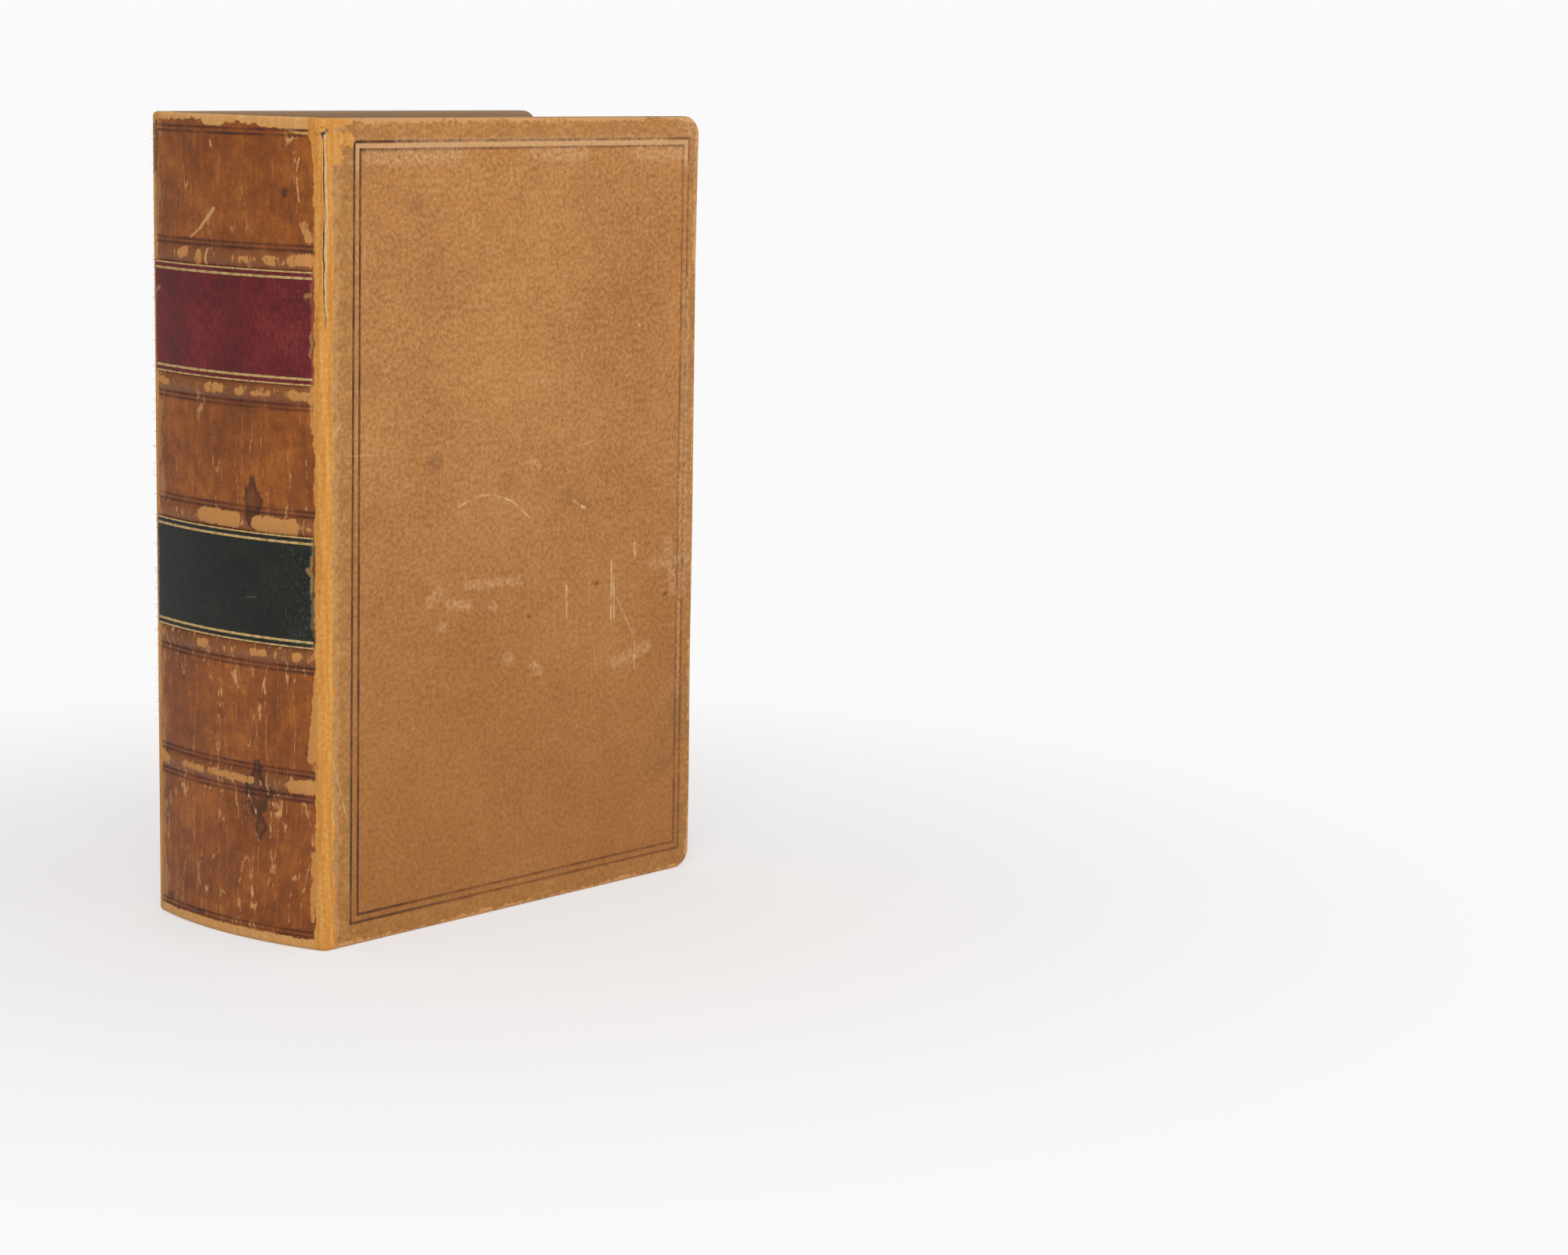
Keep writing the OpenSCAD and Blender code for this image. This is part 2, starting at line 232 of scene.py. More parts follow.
def stroke_group():
    """A mask of one stroke on the leather: 1 within Reach of the line from Start to End."""
    tree = bpy.data.node_groups.new("stroke", "ShaderNodeTree")
    for name, kind in (("Place", "Vector"), ("Start", "Vector"), ("End", "Vector"),
                       ("Reach", "Float"), ("Soft", "Float")):
        tree.interface.new_socket(name, in_out="INPUT", socket_type="NodeSocket" + kind)
    tree.interface.new_socket("Mask", in_out="OUTPUT", socket_type="NodeSocketFloat")
    given = tree.nodes.new("NodeGroupInput").outputs
    along = add(tree, "ShaderNodeVectorMath", {"Vector": given["End"],
                "Vector_001": given["Start"]}, operation="SUBTRACT")
    from_start = add(tree, "ShaderNodeVectorMath", {"Vector": given["Place"],
                     "Vector_001": given["Start"]}, operation="SUBTRACT")
    covered = add(tree, "ShaderNodeVectorMath", {"Vector": from_start, "Vector_001": along},
                  out="Value", operation="DOT_PRODUCT")
    whole = add(tree, "ShaderNodeVectorMath", {"Vector": along, "Vector_001": along},
                out="Value", operation="DOT_PRODUCT")
    share = calc(tree, "DIVIDE", covered, whole)
    share = calc(tree, "MAXIMUM", share, 0.0)
    share = calc(tree, "MINIMUM", share, 1.0)
    nearest = add(tree, "ShaderNodeVectorMath", {"Vector": along, "Scale": share},
                  operation="SCALE")
    distance = add(tree, "ShaderNodeVectorMath", {"Vector": from_start,
                   "Vector_001": nearest}, out="Value", operation="DISTANCE")
    limit = calc(tree, "ADD", given["Reach"], given["Soft"])
    mask = between(tree, distance, limit, given["Reach"])
    end = tree.nodes.new("NodeGroupOutput")
    tree.links.new(mask, end.inputs["Mask"])
    return tree


STROKE = stroke_group()


def strokes(tree, place, marks, soft):
    """One mask of several strokes, each a start, an end and half its width, in millimetres."""
    total = None
    for start, end, reach in marks:
        mask = add(tree, "ShaderNodeGroup", {"Place": place, "Start": (*start, 0),
                   "End": (*end, 0), "Reach": reach, "Soft": soft}, node_tree=STROKE)
        if total is None:
            total = mask
        else:
            total = calc(tree, "MAXIMUM", total, mask)
    return total


def noise(tree, place, size, detail=4.0, rough=0.5, stretch=(1, 1, 1), out="Fac"):
    """Noise whose largest lumps are about size millimetres across, on a UV in millimetres."""
    if stretch != (1, 1, 1):
        place = add(tree, "ShaderNodeVectorMath", {"Vector": place, "Vector_001": stretch},
                    operation="MULTIPLY")
    return add(tree, "ShaderNodeTexNoise", {"Vector": place, "Scale": 1 / size,
               "Detail": detail, "Roughness": rough}, out=out)


def weighed(tree, parts):
    """The sum of values times their weights."""
    total = 0.0
    for value, weight in parts:
        total = calc(tree, "MULTIPLY_ADD", value, weight, total)
    return total


def ragged(tree, place, reach, size):
    """The place moved about by noise, so that a mask read there has a torn edge."""
    wander = noise(tree, place, size, detail=6.0, rough=0.72, out="Color")
    centred = add(tree, "ShaderNodeVectorMath", {"Vector": wander,
                  "Vector_001": (0.5, 0.5, 0.5)}, operation="SUBTRACT")
    moved = add(tree, "ShaderNodeVectorMath", {"Vector": centred,
                "Vector_001": (2 * reach, 2 * reach, 0)}, operation="MULTIPLY")
    return add(tree, "ShaderNodeVectorMath", {"Vector": place, "Vector_001": moved},
               operation="ADD")


def eroded(tree, mask, place, size, stretch=(1, 1, 1), bite=1.6, full=1.0):
    """A soft mask bitten by noise, which leaves it as ragged patches and islands. Full says
    how closely they cover the middle of the mask."""
    grit = noise(tree, place, size, detail=6.0, rough=0.7, stretch=stretch)
    bitten = weighed(tree, ((mask, full), (grit, bite)))
    return between(tree, bitten, 0.5 * bite + 0.44, 0.5 * bite + 0.6)


def lozenge(tree, place, centre, half_width, half_height):
    """Distance from the middle of an upright lozenge, which is 1 on its outline."""
    away = add(tree, "ShaderNodeVectorMath", {"Vector": place, "Vector_001": (*centre, 0)},
               operation="SUBTRACT")
    away = add(tree, "ShaderNodeVectorMath", {"Vector": away}, operation="ABSOLUTE")
    return add(tree, "ShaderNodeVectorMath", {"Vector": away,
               "Vector_001": (1 / half_width, 1 / half_height, 0)}, out="Value",
               operation="DOT_PRODUCT")


def joint_distance(tree, along):
    """Distance past the nearer joint line, from the distance along the whole skin."""
    centred = calc(tree, "ADD", along, SPINE_ARC / 2)
    either = calc(tree, "ABSOLUTE", centred)
    return calc(tree, "SUBTRACT", either, SPINE_ARC / 2)


def calf_grain(tree, place):
    """Height of calf's fine pebbled grain: cells about 1.1 mm across, drawn a little coarser
    than real so that they show, with pores between them."""
    cells = add(tree, "ShaderNodeVectorMath", {"Vector": place,
                "Vector_001": (0.9, 0.9, 0.0)}, operation="MULTIPLY")
    pebble = add(tree, "ShaderNodeTexVoronoi", {"Vector": cells, "Scale": 1.0,
                 "Randomness": 0.9}, out="Distance", feature="F1")
    pores = noise(tree, place, 0.45, detail=3.0)
    return calc(tree, "MULTIPLY_ADD", pebble, -0.8, pores)


# Marks on the front cover: start and end as distances past the joint and heights, half width
COVER_SCRATCHES = (
    ((56, 133), (63, 135.6), 0.15), ((63, 135.6), (71, 136), 0.15), ((71, 136), (80, 133), 0.15),
    ((80, 133), (88, 127), 0.15), ((105.5, 93), (105.3, 103), 0.3),
    ((116.5, 80), (115.6, 116), -0.1), ((126.5, 88), (126.6, 109), 0.2),
    ((128, 90), (127.6, 104), 0.1), ((138.2, 72), (138, 85), 0.25),
    ((138, 110), (137.6, 114), 0.4), ((129, 97), (137.6, 83), 0.0),
    ((120, 73), (116, 92), -0.1), ((128, 232), (142, 236), -0.1),
    ((142, 236), (148, 235), -0.1), ((107, 148), (120, 150), -0.1),
    ((110, 145), (126, 132), -0.1), ((3, 152.7), (20, 152.2), -0.1),
    ((20, 152.2), (50, 152.6), -0.15), ((137, 188), (139, 186), 0.1),
    ((3, 158), (7, 163), 0.1), ((3, 60), (9, 42), 0.0), ((100, 60), (122, 52), -0.15),
    ((108, 130.8), (110.5, 129.4), 0.2), ((112, 128.6), (113.6, 128.0), 0.3),
)
# Rubbed patches on the front cover
COVER_RUBS = (
    ((60, 107.5), (84, 107.3), 0.3), ((146, 106.3), (163, 106.5), 0.5),
    ((44, 104), (48, 107), 0.8), ((52, 103), (61, 101), 0.4), ((48.5, 96), (50, 95.5), 0.5),
    ((78, 82.5), (79, 82.3), 1.0), ((90, 79), (93, 76.5), 0.4), ((93, 171), (93.2, 171), 0.3),
    ((71, 100), (72, 99.6), 0.6), ((88.5, 145), (91, 143.8), 0.5),
    ((154, 113), (157, 97), 0.8), ((128, 75), (145, 79), 0.6), ((18, 242.3), (55, 242.8), 1.6),
    ((90, 242.8), (112, 242.4), 1.4), ((138, 242.8), (158, 242.2), 1.6),
    ((161.0, 252.0), (165.0, 248.5), 2.2), ((165.4, 246.0), (165.8, 205.0), 0.6),
    ((161.5, 200), (161.8, 95), 0.0), ((159.6, 150), (159.8, 60), -0.5),
    ((30, 246.2), (150, 246.4), 0.3),
)
# Stains on the front cover; the last, broad one at the lower corner of the fore-edge is a painted
# shadow
COVER_STAINS_AND_SHADOW = (
    ((17, 177), (20, 177.5), 2.0), ((35, 227.3), (39, 227.5), 0.8), ((17, 133), (20, 133.5), 1.5),
    ((44, 147), (47, 148), 1.2), ((77, 138), (79, 139), 1.8), ((104, 132.6), (108, 131), 1.2),
    ((108, 131), (114, 128), 1.0), ((38, 108.5), (39, 108), 0.6), ((96, 138), (97, 137), 1.0),
    ((150, 40), (166, 60), 6.0),
)
COVER_DOTS = (
    ((119.3, 102.4), (120, 102.4), 0.35), ((88, 94.8), (88.4, 94.8), 0.25),
    ((152.6, 95.6), (153.6, 95.6), 0.35), ((-77.8, 248.5), (-79.0, 236.0), 1.5),
)
# The patch that is rubbed through to the pale hide beside the head of the joint
COVER_BARE = (((4.0, 248.5), (9.5, 247.2), 0.3), ((4.5, 245.0), (5.2, 242.0), 0.3),
              ((4.0, 252.6), (9.0, 253.2), 0.0))


def cover_calf():
    """Tan calf, vegetable tanned and hand dyed: a satin surface with fine pebbles, rubbed pale
    and matt along its joint and edges, and browned outside the blind lines. Painted shade
    darkens its lower part and the lower corner at the fore-edge."""
    material, tree, shader = new_material("cover_calf", IOR=1.5, Specular_IOR_Level=0.35)
    place = add(tree, "ShaderNodeUVMap", uv_map="skin")
    torn = ragged(tree, place, 1.2, 5.0)
    plain = add(tree, "ShaderNodeSeparateXYZ", {"Vector": place}, out="X").node
    loose = add(tree, "ShaderNodeSeparateXYZ", {"Vector": torn}, out="X").node
    wander = weighed(tree, ((noise(tree, place, 26.0, detail=5.0, rough=0.7,
                                   stretch=(1, 0.7, 1)), 6.0), (-3.0, 1.0)))
    joint = joint_distance(tree, loose.outputs["X"])
    joint_plain = joint_distance(tree, plain.outputs["X"])
    mottle = noise(tree, place, 55.0, detail=5.0, rough=0.6)
    cloud = noise(tree, place, 8.0, detail=5.0, rough=0.65)
    fine = noise(tree, place, 1.5, detail=4.0, rough=0.7)
    grain = calf_grain(tree, place)
    tone = weighed(tree, ((mottle, 0.3), (cloud, 0.18), (fine, 0.8), (-0.14, 1.0)))
    colour = ramp(tree, tone, ((0.36, "#9c652d"), (0.5, TAN), (0.66, "#cb965b")))

    # Distance from the head or tail, from the fore-edge, and from the nearest of them
    from_head = weighed(tree, ((loose.outputs["Y"], -1.0), (HEIGHT, 1.0)))
    from_end = calc(tree, "MINIMUM", from_head, loose.outputs["Y"])
    from_fore = weighed(tree, ((joint, -1.0), (COVER_WIDTH, 1.0)))
    from_edge = calc(tree, "MINIMUM", from_end, from_fore)

    # The blind lines: signed distance outside each rectangle, deep beside the joint and
    # fainter towards the fore-edge
    lines = []
    outsides = []
    for sizes in FRAME_LINES:
        middle = (sizes["left"] + sizes["right"]) / 2
        across = weighed(tree, ((joint_plain, 1.0), (middle, -1.0)))
        across = calc(tree, "ABSOLUTE", across)
        across = weighed(tree, ((across, 1.0), (sizes["right"] - middle, -1.0)))
        upward = weighed(tree, ((plain.outputs["Y"], 1.0), (HEIGHT / 2, -1.0)))
        upward = calc(tree, "ABSOLUTE", upward)
        upward = weighed(tree, ((upward, 1.0), (HEIGHT / 2 - sizes["end"], -1.0)))
        outside = calc(tree, "MAXIMUM", across, upward)
        distance = calc(tree, "ABSOLUTE", outside)
        outsides.append(outside)
        lines.append(between(tree, distance, 0.6, 0.25))
    line = calc(tree, "MAXIMUM", lines[0], lines[1])
    faded = between(tree, joint_plain, 60.0, 10.0)
    struck = weighed(tree, ((faded, 0.45), (noise(tree, place, 9.0, detail=4.0), 1.3),
                            (-0.2, 1.0)))
    ridge = calc(tree, "MULTIPLY", between(tree, outsides[1], 0.2, 0.7),
                 between(tree, outsides[0], -0.2, -0.7))
    ridge = calc(tree, "MULTIPLY", ridge, between(tree, from_head, 22.0, 12.0))
    faded_tan = ramp(tree, weighed(tree, ((cloud, 0.4), (fine, 0.6))),
                     ((0.36, "#916330"), (0.5, "#ad783a"), (0.64, "#c89558")))
    border = between(tree, outsides[0], -0.5, 1.5)

    rubbed_joint = weighed(tree, ((joint, 1.0), (wander, 0.8)))
    rubbed_joint = between(tree, rubbed_joint, 5.6, 1.6)
    rubbed_joint = eroded(tree, rubbed_joint, place, 3.5, stretch=(1, 0.5, 1), bite=2.0)
    rubbed_edge = weighed(tree, ((from_edge, 1.0), (wander, 1.2)))
    rubbed_edge = eroded(tree, between(tree, rubbed_edge, 3.4, -0.8), place, 2.2, bite=2.4)
    bare_patch = eroded(tree, strokes(tree, torn, COVER_BARE, 3.4), place, 1.6, bite=1.6)

    scratch = strokes(tree, ragged(tree, place, 0.3, 2.5), COVER_SCRATCHES, 0.35)
    rub = calc(tree, "MULTIPLY", strokes(tree, torn, COVER_RUBS, 2.2),
               between(tree, fine, 0.28, 0.72))
    # Stains, and the painted shadow at the lower corner of the fore-edge
    stain = strokes(tree, torn, COVER_STAINS_AND_SHADOW, 3.2)
    drawn = between(tree, noise(tree, place, 5.0), 0.3, 0.75)
    blotch = between(tree, cloud, 0.35, 1.0)
    dot = strokes(tree, torn, COVER_DOTS, 0.6)
    # Painted shade: the cover is painted darker towards its tail
    low = between(tree, loose.outputs["Y"], 200.0, 10.0)
    beside_joint = between(tree, joint, 12.5, 9.5)
    # Dust and painted shade: the head edge is painted grey-brown
    dust_and_shade_on_head = between(tree, plain.outputs["Y"], HEIGHT - 0.2, HEIGHT + 0.6)
    lacy = eroded(tree, between(tree, joint, 9.0, 3.0), place, 2.4, stretch=(1, 0.5, 1),
                  bite=2.6, full=0.8)

    streaks = noise(tree, place, 1.6, detail=4.0, stretch=(1, 0.06, 1))
    bare = ramp(tree, weighed(tree, ((streaks, 0.5), (fine, 0.5))),
                ((0.36, "#c27b36"), (0.5, "#d5923f"), (0.64, "#e1aa60")))
    colour = paint(tree, colour, (
        (low, "#8f5614", 0.5), (border, faded_tan, 0.45), (beside_joint, faded_tan, 0.6),
        (ridge, "#dbab78", 0.6), (stain, "#6f4526", blotch),
        (line, "#4a2a18", struck), (lacy, "#cf9f62", 0.4), (rubbed_edge, "#d6a066", 0.8),
        (bare_patch, bare, 0.9), (rubbed_joint, bare, 1.0), (rub, "#dbb081", 0.5),
        (scratch, "#dcb68a", drawn), (dot, "#54371f", 0.65),
        (dust_and_shade_on_head, "#7d6b59", 0.8),
    ))
    tree.links.new(colour, shader.inputs["Base Color"])

    worn = calc(tree, "MAXIMUM", rubbed_edge, rubbed_joint)
    rough = add(tree, "ShaderNodeMapRange", {"Value": worn, "To Min": 0.56, "To Max": 0.8})
    tree.links.new(rough, shader.inputs["Roughness"])
    relief(tree, shader, grain, 0.4, 0.15)
    return material


# Marks on the spine: distance from the front joint line and height
SPINE_SCRATCHES = (
    ((43.5, 225.5), (50, 219.5), 0.35), ((50, 219.5), (55, 216.5), 0.1),
    ((9.5, 236), (8.8, 229), 0.0), ((8.5, 242), (9.6, 238), 0.0),
    ((45, 246), (44.5, 244.5), 0.2), ((46, 213), (47, 208), 0.3),
)
# Rubbed patches on the spine, most of them on the bands
SPINE_RUBS = (
    ((5, 211.8), (11, 211.5), 1.2),
    ((18, 211.2), (20, 211.2), 1.0), ((28, 211), (31, 211), 0.3), ((50, 211.5), (51, 209), 0.9),
    ((57, 212), (60, 211.5), 0.9), ((5, 170.5), (11, 171), 1.0), ((40, 171.5), (46, 171), 0.9),
    ((31, 171), (32, 171), 0.8), ((20, 171), (26, 170.6), 0.2), ((68, 171), (73, 171.3), 0.6),
    ((48, 91.5), (51, 91.2), 0.8), ((9, 91.4), (10, 91.3), 0.9), ((22, 91.3), (27, 91.2), 0.5),
    ((4, 51.5), (12, 50.8), 1.3), ((28, 51), (46, 51.3), 0.6), ((50, 51.2), (60, 51.3), 0.4),
    ((70, 51), (76, 52), 0.9), ((76, 212), (79, 210), 1.2), ((77, 132), (79, 131), 0.9),
    ((77, 172), (80, 170), 1.0), ((7, 222), (5.5, 218), 0.8), ((5, 200), (4, 160), 0.2),
    ((4, 30), (4.5, 10), 0.4), ((79.5, 230), (79.5, 20), 0.5), ((20, 3), (60, 3), 0.2),
)
# Where a band is rubbed right through to the pale hide
SPINE_BARE = (((34, 131.3), (49, 131.6), 1.5), ((11, 130.8), (24.5, 131.0), 1.5),
              ((5, 51.0), (11, 50.8), 1.2), ((1, 111), (4.5, 104), 0.8), ((2, 88), (4.5, 60), 0.6))
SPINE_SPOTS = (
    ((14, 232), (14, 231), 0.5), ((70, 7), (71, 6.5), 1.0), ((52, 5), (54, 4.8), 0.6),
    ((76, 248), (77, 237), 1.0), ((76, 250.5), (80, 250.0), 0.6),
)
# Where dark dye is left in the rubbed strip along the head
SPINE_DYED = (((50, 251), (78, 250.6), 0.8), ((26, 250.6), (38, 250.8), 0.6))
# Water stains on the spine: middle, half width and half height
SPINE_STAINS = (((27.2, 138.0), 4.6, 8.6), ((25.6, 47.5), 6.6, 10.0), ((24.4, 36.8), 3.0, 5.0))


def spine_line_heights():
    """Heights of the blind lines across the spine, as the solids have them."""
    ends = (END_LINE, END_LINE + LINE_STEP)
    heights = [*ends, *(HEIGHT - end for end in ends)]
    for band in range(BAND_COUNT):
        for side in (-1, 1):
            space = band + (side > 0)
            if space in LABEL_SPACES:
                continue
            near = BAND_BASE + band * BAND_PITCH + side * (BAND_WIDTH / 2 + LINE_CLEAR)
            heights += [near, near + side * LINE_STEP]
    return sorted(heights)


def spine_calf():
    """Darker calf of the spine, dried by light: brown with fine upright cracks that show the
    pale hide, rubbed bare at the joints, the ends and the crests of the bands."""
    material, tree, shader = new_material("spine_calf", IOR=1.5, Specular_IOR_Level=0.35)
    whole = add(tree, "ShaderNodeUVMap", uv_map="skin")
    place = add(tree, "ShaderNodeVectorMath", {"Vector": whole,
                "Vector_001": (-1, 1, 1)}, operation="MULTIPLY")
    torn = ragged(tree, place, 1.0, 4.0)
    plain = add(tree, "ShaderNodeSeparateXYZ", {"Vector": place}, out="X").node
    loose = add(tree, "ShaderNodeSeparateXYZ", {"Vector": torn}, out="X").node
    whole_torn = add(tree, "ShaderNodeSeparateXYZ",
                     {"Vector": ragged(tree, whole, 1.2, 5.0)}, out="X")
    joint = joint_distance(tree, whole_torn)
    mottle = noise(tree, place, 26.0, detail=5.0, rough=0.6)
    cloud = noise(tree, place, 5.0, detail=5.0, rough=0.65)
    drag = noise(tree, place, 2.2, detail=5.0, rough=0.65, stretch=(1, 0.2, 1))
    fine = noise(tree, whole, 1.1, detail=4.0, rough=0.75)
    grain = calf_grain(tree, whole)
    tone = weighed(tree, ((mottle, 0.35), (cloud, 0.25), (drag, 0.2), (fine, 0.2)))
    colour = ramp(tree, tone, ((0.38, "#66350e"), (0.5, "#934e19"), (0.63, "#bb7026")))

    # Upright cracks: the contours of a noise that is drawn out upwards
    contour = noise(tree, ragged(tree, place, 0.5, 3.0), 7.0, detail=1.5,
                    stretch=(1, 0.16, 1))
    contour = weighed(tree, ((contour, 1.0), (drag, 0.16), (-0.58, 1.0)))
    contour = calc(tree, "ABSOLUTE", contour)
    crack = between(tree, contour, 0.012, 0.004)
    dry = weighed(tree, ((noise(tree, place, 18.0, detail=3.0), 1.0),
                         (between(tree, plain.outputs["Y"], 178.0, 120.0), 0.24),
                         (between(tree, plain.outputs["X"], 72.0, 52.0), 0.12)))
    crack_strength = calc(tree, "MULTIPLY", between(tree, dry, 0.56, 0.8),
                          between(tree, noise(tree, place, 3.0, detail=3.0), 0.4, 0.62))

    offset = weighed(tree, ((plain.outputs["Y"], 1.0), (BAND_BASE, -1.0)))
    to_band = calc(tree, "PINGPONG", offset, BAND_PITCH / 2)
    middle = weighed(tree, ((plain.outputs["Y"], 1.0), (BAND_BASE + 2 * BAND_PITCH, -1.0)))
    middle = calc(tree, "ABSOLUTE", middle)
    among = between(tree, middle, 95.0, 90.0)
    # Painted shade at the foot of each band, and a painted highlight on its crest
    band_foot_shade = calc(tree, "MULTIPLY", between(tree, to_band, 6.0, 3.0), among)
    crest = calc(tree, "MULTIPLY", between(tree, to_band, 3.0, 0.8), among)
    flecks = noise(tree, torn, 2.6, detail=4.0, rough=0.6, stretch=(1.5, 0.55, 1))
    flecks = weighed(tree, ((crest, 0.22), (flecks, 1.0), (mottle, 0.25)))
    flecks = between(tree, flecks, 0.93, 0.97)

    line = None
    for height in spine_line_heights():
        gap = weighed(tree, ((plain.outputs["Y"], 1.0), (height, -1.0)))
        gap = calc(tree, "ABSOLUTE", gap)
        mask = between(tree, gap, 0.7, 0.2)
        line = mask if line is None else calc(tree, "MAXIMUM", line, mask)
    struck = weighed(tree, ((noise(tree, place, 14.0, detail=5.0, stretch=(1, 2.5, 1)), 2.4),
                            (-0.75, 1.0)))

    wander = noise(tree, place, 22.0, detail=5.0, rough=0.7, stretch=(1, 0.7, 1))
    near_head = between(tree, loose.outputs["Y"], 236.0, 250.0)
    rubbed_joint = weighed(tree, ((joint, -1.0), (wander, 3.0), (-1.5, 1.0),
                                  (near_head, -2.2)))
    rubbed_joint = between(tree, rubbed_joint, 5.0, 2.2)
    rubbed_joint = eroded(tree, rubbed_joint, whole, 3.5, stretch=(1, 0.5, 1), bite=2.0)
    head = weighed(tree, ((loose.outputs["Y"], 1.0),
                          (between(tree, loose.outputs["X"], 18.0, 4.0), 2.4)))
    head = between(tree, head, 249.6, 251.6)
    tail = between(tree, loose.outputs["Y"], 4.4, 2.4)
    rubbed_end = calc(tree, "MAXIMUM", head, tail)
    dyed = strokes(tree, torn, SPINE_DYED, 1.8)
    rubbed_end = weighed(tree, ((rubbed_end, 1.0), (dyed, -0.62)))
    rubbed_end = eroded(tree, rubbed_end, place, 2.4, bite=1.6)
    rub = eroded(tree, strokes(tree, torn, SPINE_RUBS, 1.6), torn, 2.4,
                 stretch=(1.6, 0.6, 1), bite=2.0, full=0.72)
    rub = calc(tree, "MAXIMUM", rub, flecks)
    bald = eroded(tree, strokes(tree, torn, SPINE_BARE, 2.0), torn, 2.4,
                  stretch=(1, 0.6, 1), bite=2.2)
    rub = calc(tree, "MAXIMUM", rub, bald)
    scratch = eroded(tree, strokes(tree, ragged(tree, place, 0.5, 2.0), SPINE_SCRATCHES, 0.6),
                     place, 0.9, bite=1.6, full=0.85)
    spot = strokes(tree, torn, SPINE_SPOTS, 1.0)
    from_stain = 9.0
    for stain in SPINE_STAINS:
        from_stain = calc(tree, "MINIMUM", lozenge(tree, torn, *stain), from_stain)
    from_stain = weighed(tree, ((from_stain, 1.0), (cloud, 1.1), (drag, 1.1), (-1.1, 1.0)))
    stain = between(tree, from_stain, 1.05, 0.9)
    stain_rim = calc(tree, "MULTIPLY", stain, between(tree, from_stain, 0.2, 0.75))

    streaks = noise(tree, whole, 1.6, detail=4.0, stretch=(1, 0.06, 1))
    bare = ramp(tree, weighed(tree, ((streaks, 0.5), (fine, 0.5))),
                ((0.36, "#c07a36"), (0.5, "#d5923f"), (0.64, "#e1aa60")))
    # Dust and painted shade: the head edge is painted grey-brown
    dust_and_shade_on_head = between(tree, plain.outputs["Y"], HEIGHT + 0.2, HEIGHT + 1.2)
    far_edge = eroded(tree, between(tree, plain.outputs["X"], 66.0, 79.0), place, 3.0,
                      stretch=(1, 0.4, 1), bite=2.2, full=0.8)
    # The bands' feet get painted shade and their crests a painted highlight
    colour = paint(tree, colour, (
        (band_foot_shade, "#6b3c2c", 0.4), (crest, "#9a6636", 0.35),
        (far_edge, "#bd8a54", 0.6), (stain, "#5e3318", 0.5), (stain_rim, "#351d12", 0.62),
        (crack, "#d79f62", crack_strength), (rub, "#d39452", 0.85),
        (scratch, "#dba768", 0.8), (rubbed_end, bare, 1.0), (rubbed_end, "#e9bb80", 0.35),
        (line, "#472218", struck),
        (rubbed_joint, bare, 1.0),
        (spot, "#4a2a1a", 0.75), (dust_and_shade_on_head, "#85705a", 0.6),
    ))
    tree.links.new(colour, shader.inputs["Base Color"])
    worn = calc(tree, "MAXIMUM", rub, rubbed_joint)
    rough = add(tree, "ShaderNodeMapRange", {"Value": worn, "To Min": 0.48, "To Max": 0.75})
    tree.links.new(rough, shader.inputs["Roughness"])
    height = weighed(tree, ((grain, 1.0), (crack, -1.2)))
    relief(tree, shader, height, 0.5, 0.15)
    return material


def flesh_side():
    """The undyed, fibrous inside of the calf, which shows at its cut and torn edges."""
    material, tree, shader = new_material("flesh_side_of_calf", Roughness=0.9)
    place = add(tree, "ShaderNodeUVMap", uv_map="skin")
    fibre = noise(tree, place, 0.8, detail=5.0, rough=0.7)
    colour = ramp(tree, fibre, ((0.3, "#c99a66"), (0.6, "#e3c294"), (0.8, "#efd9b4")))
    tree.links.new(colour, shader.inputs["Base Color"])
    relief(tree, shader, fibre, 0.5, 0.15)
    return material


# Pale nicks and scuffs of the labels, along the skin (below zero on the spine) and up it
TITLE_MARKS = (((-4.2, 201.5), (-6.0, 201.0), 0.2), ((-3.9, 190.0), (-4.2, 183.0), 0.0),
               ((-74.0, 200.0), (-76.0, 199.0), 0.2))
AUTHOR_MARKS = (((-4.4, 117.0), (-5.4, 118.2), 0.35), ((-26.0, 108.5), (-30.0, 107.6), -0.5),
                ((-4.0, 122.0), (-4.2, 112.0), 0.0))


def label_goat(name, deep, main, lit, rubbed, marks):
    """Pared goat leather, dyed through and polished: close straight grain and a soft gloss,
    scuffed at its front end."""
    material, tree, shader = new_material(name, IOR=1.5, Specular_IOR_Level=0.35)
    place = add(tree, "ShaderNodeUVMap", uv_map="skin")
    weave = noise(tree, place, 0.9, detail=3.0, stretch=(1, 0.35, 1))
    cloud = noise(tree, place, 14.0, detail=5.0)
    tone = weighed(tree, ((weave, 0.5), (cloud, 0.5)))
    colour = ramp(tree, tone, ((0.36, deep), (0.5, main), (0.66, lit)))
    along = add(tree, "ShaderNodeSeparateXYZ", {"Vector": ragged(tree, place, 3.0, 5.0)},
                out="X")
    front_end = between(tree, along, -22.0, -4.0)
    scuff = between(tree, noise(tree, place, 1.3, detail=5.0, rough=0.75), 0.52, 0.7)
    scuff = calc(tree, "MULTIPLY", scuff, front_end)
    edge = between(tree, joint_distance(tree, along), -4.6, -3.6)
    mark = eroded(tree, strokes(tree, ragged(tree, place, 0.8, 2.5), marks, 1.3), place, 0.5,
                  bite=2.4, full=0.75)
    colour = paint(tree, colour, ((scuff, rubbed, 0.7), (edge, rubbed, 0.8),
                                  (mark, "#b0854e", 0.7)))
    tree.links.new(colour, shader.inputs["Base Color"])
    rough = add(tree, "ShaderNodeMapRange", {"Value": cloud, "To Min": 0.38, "To Max": 0.6})
    tree.links.new(rough, shader.inputs["Roughness"])
    relief(tree, shader, weave, 0.25, 0.1)
    return material


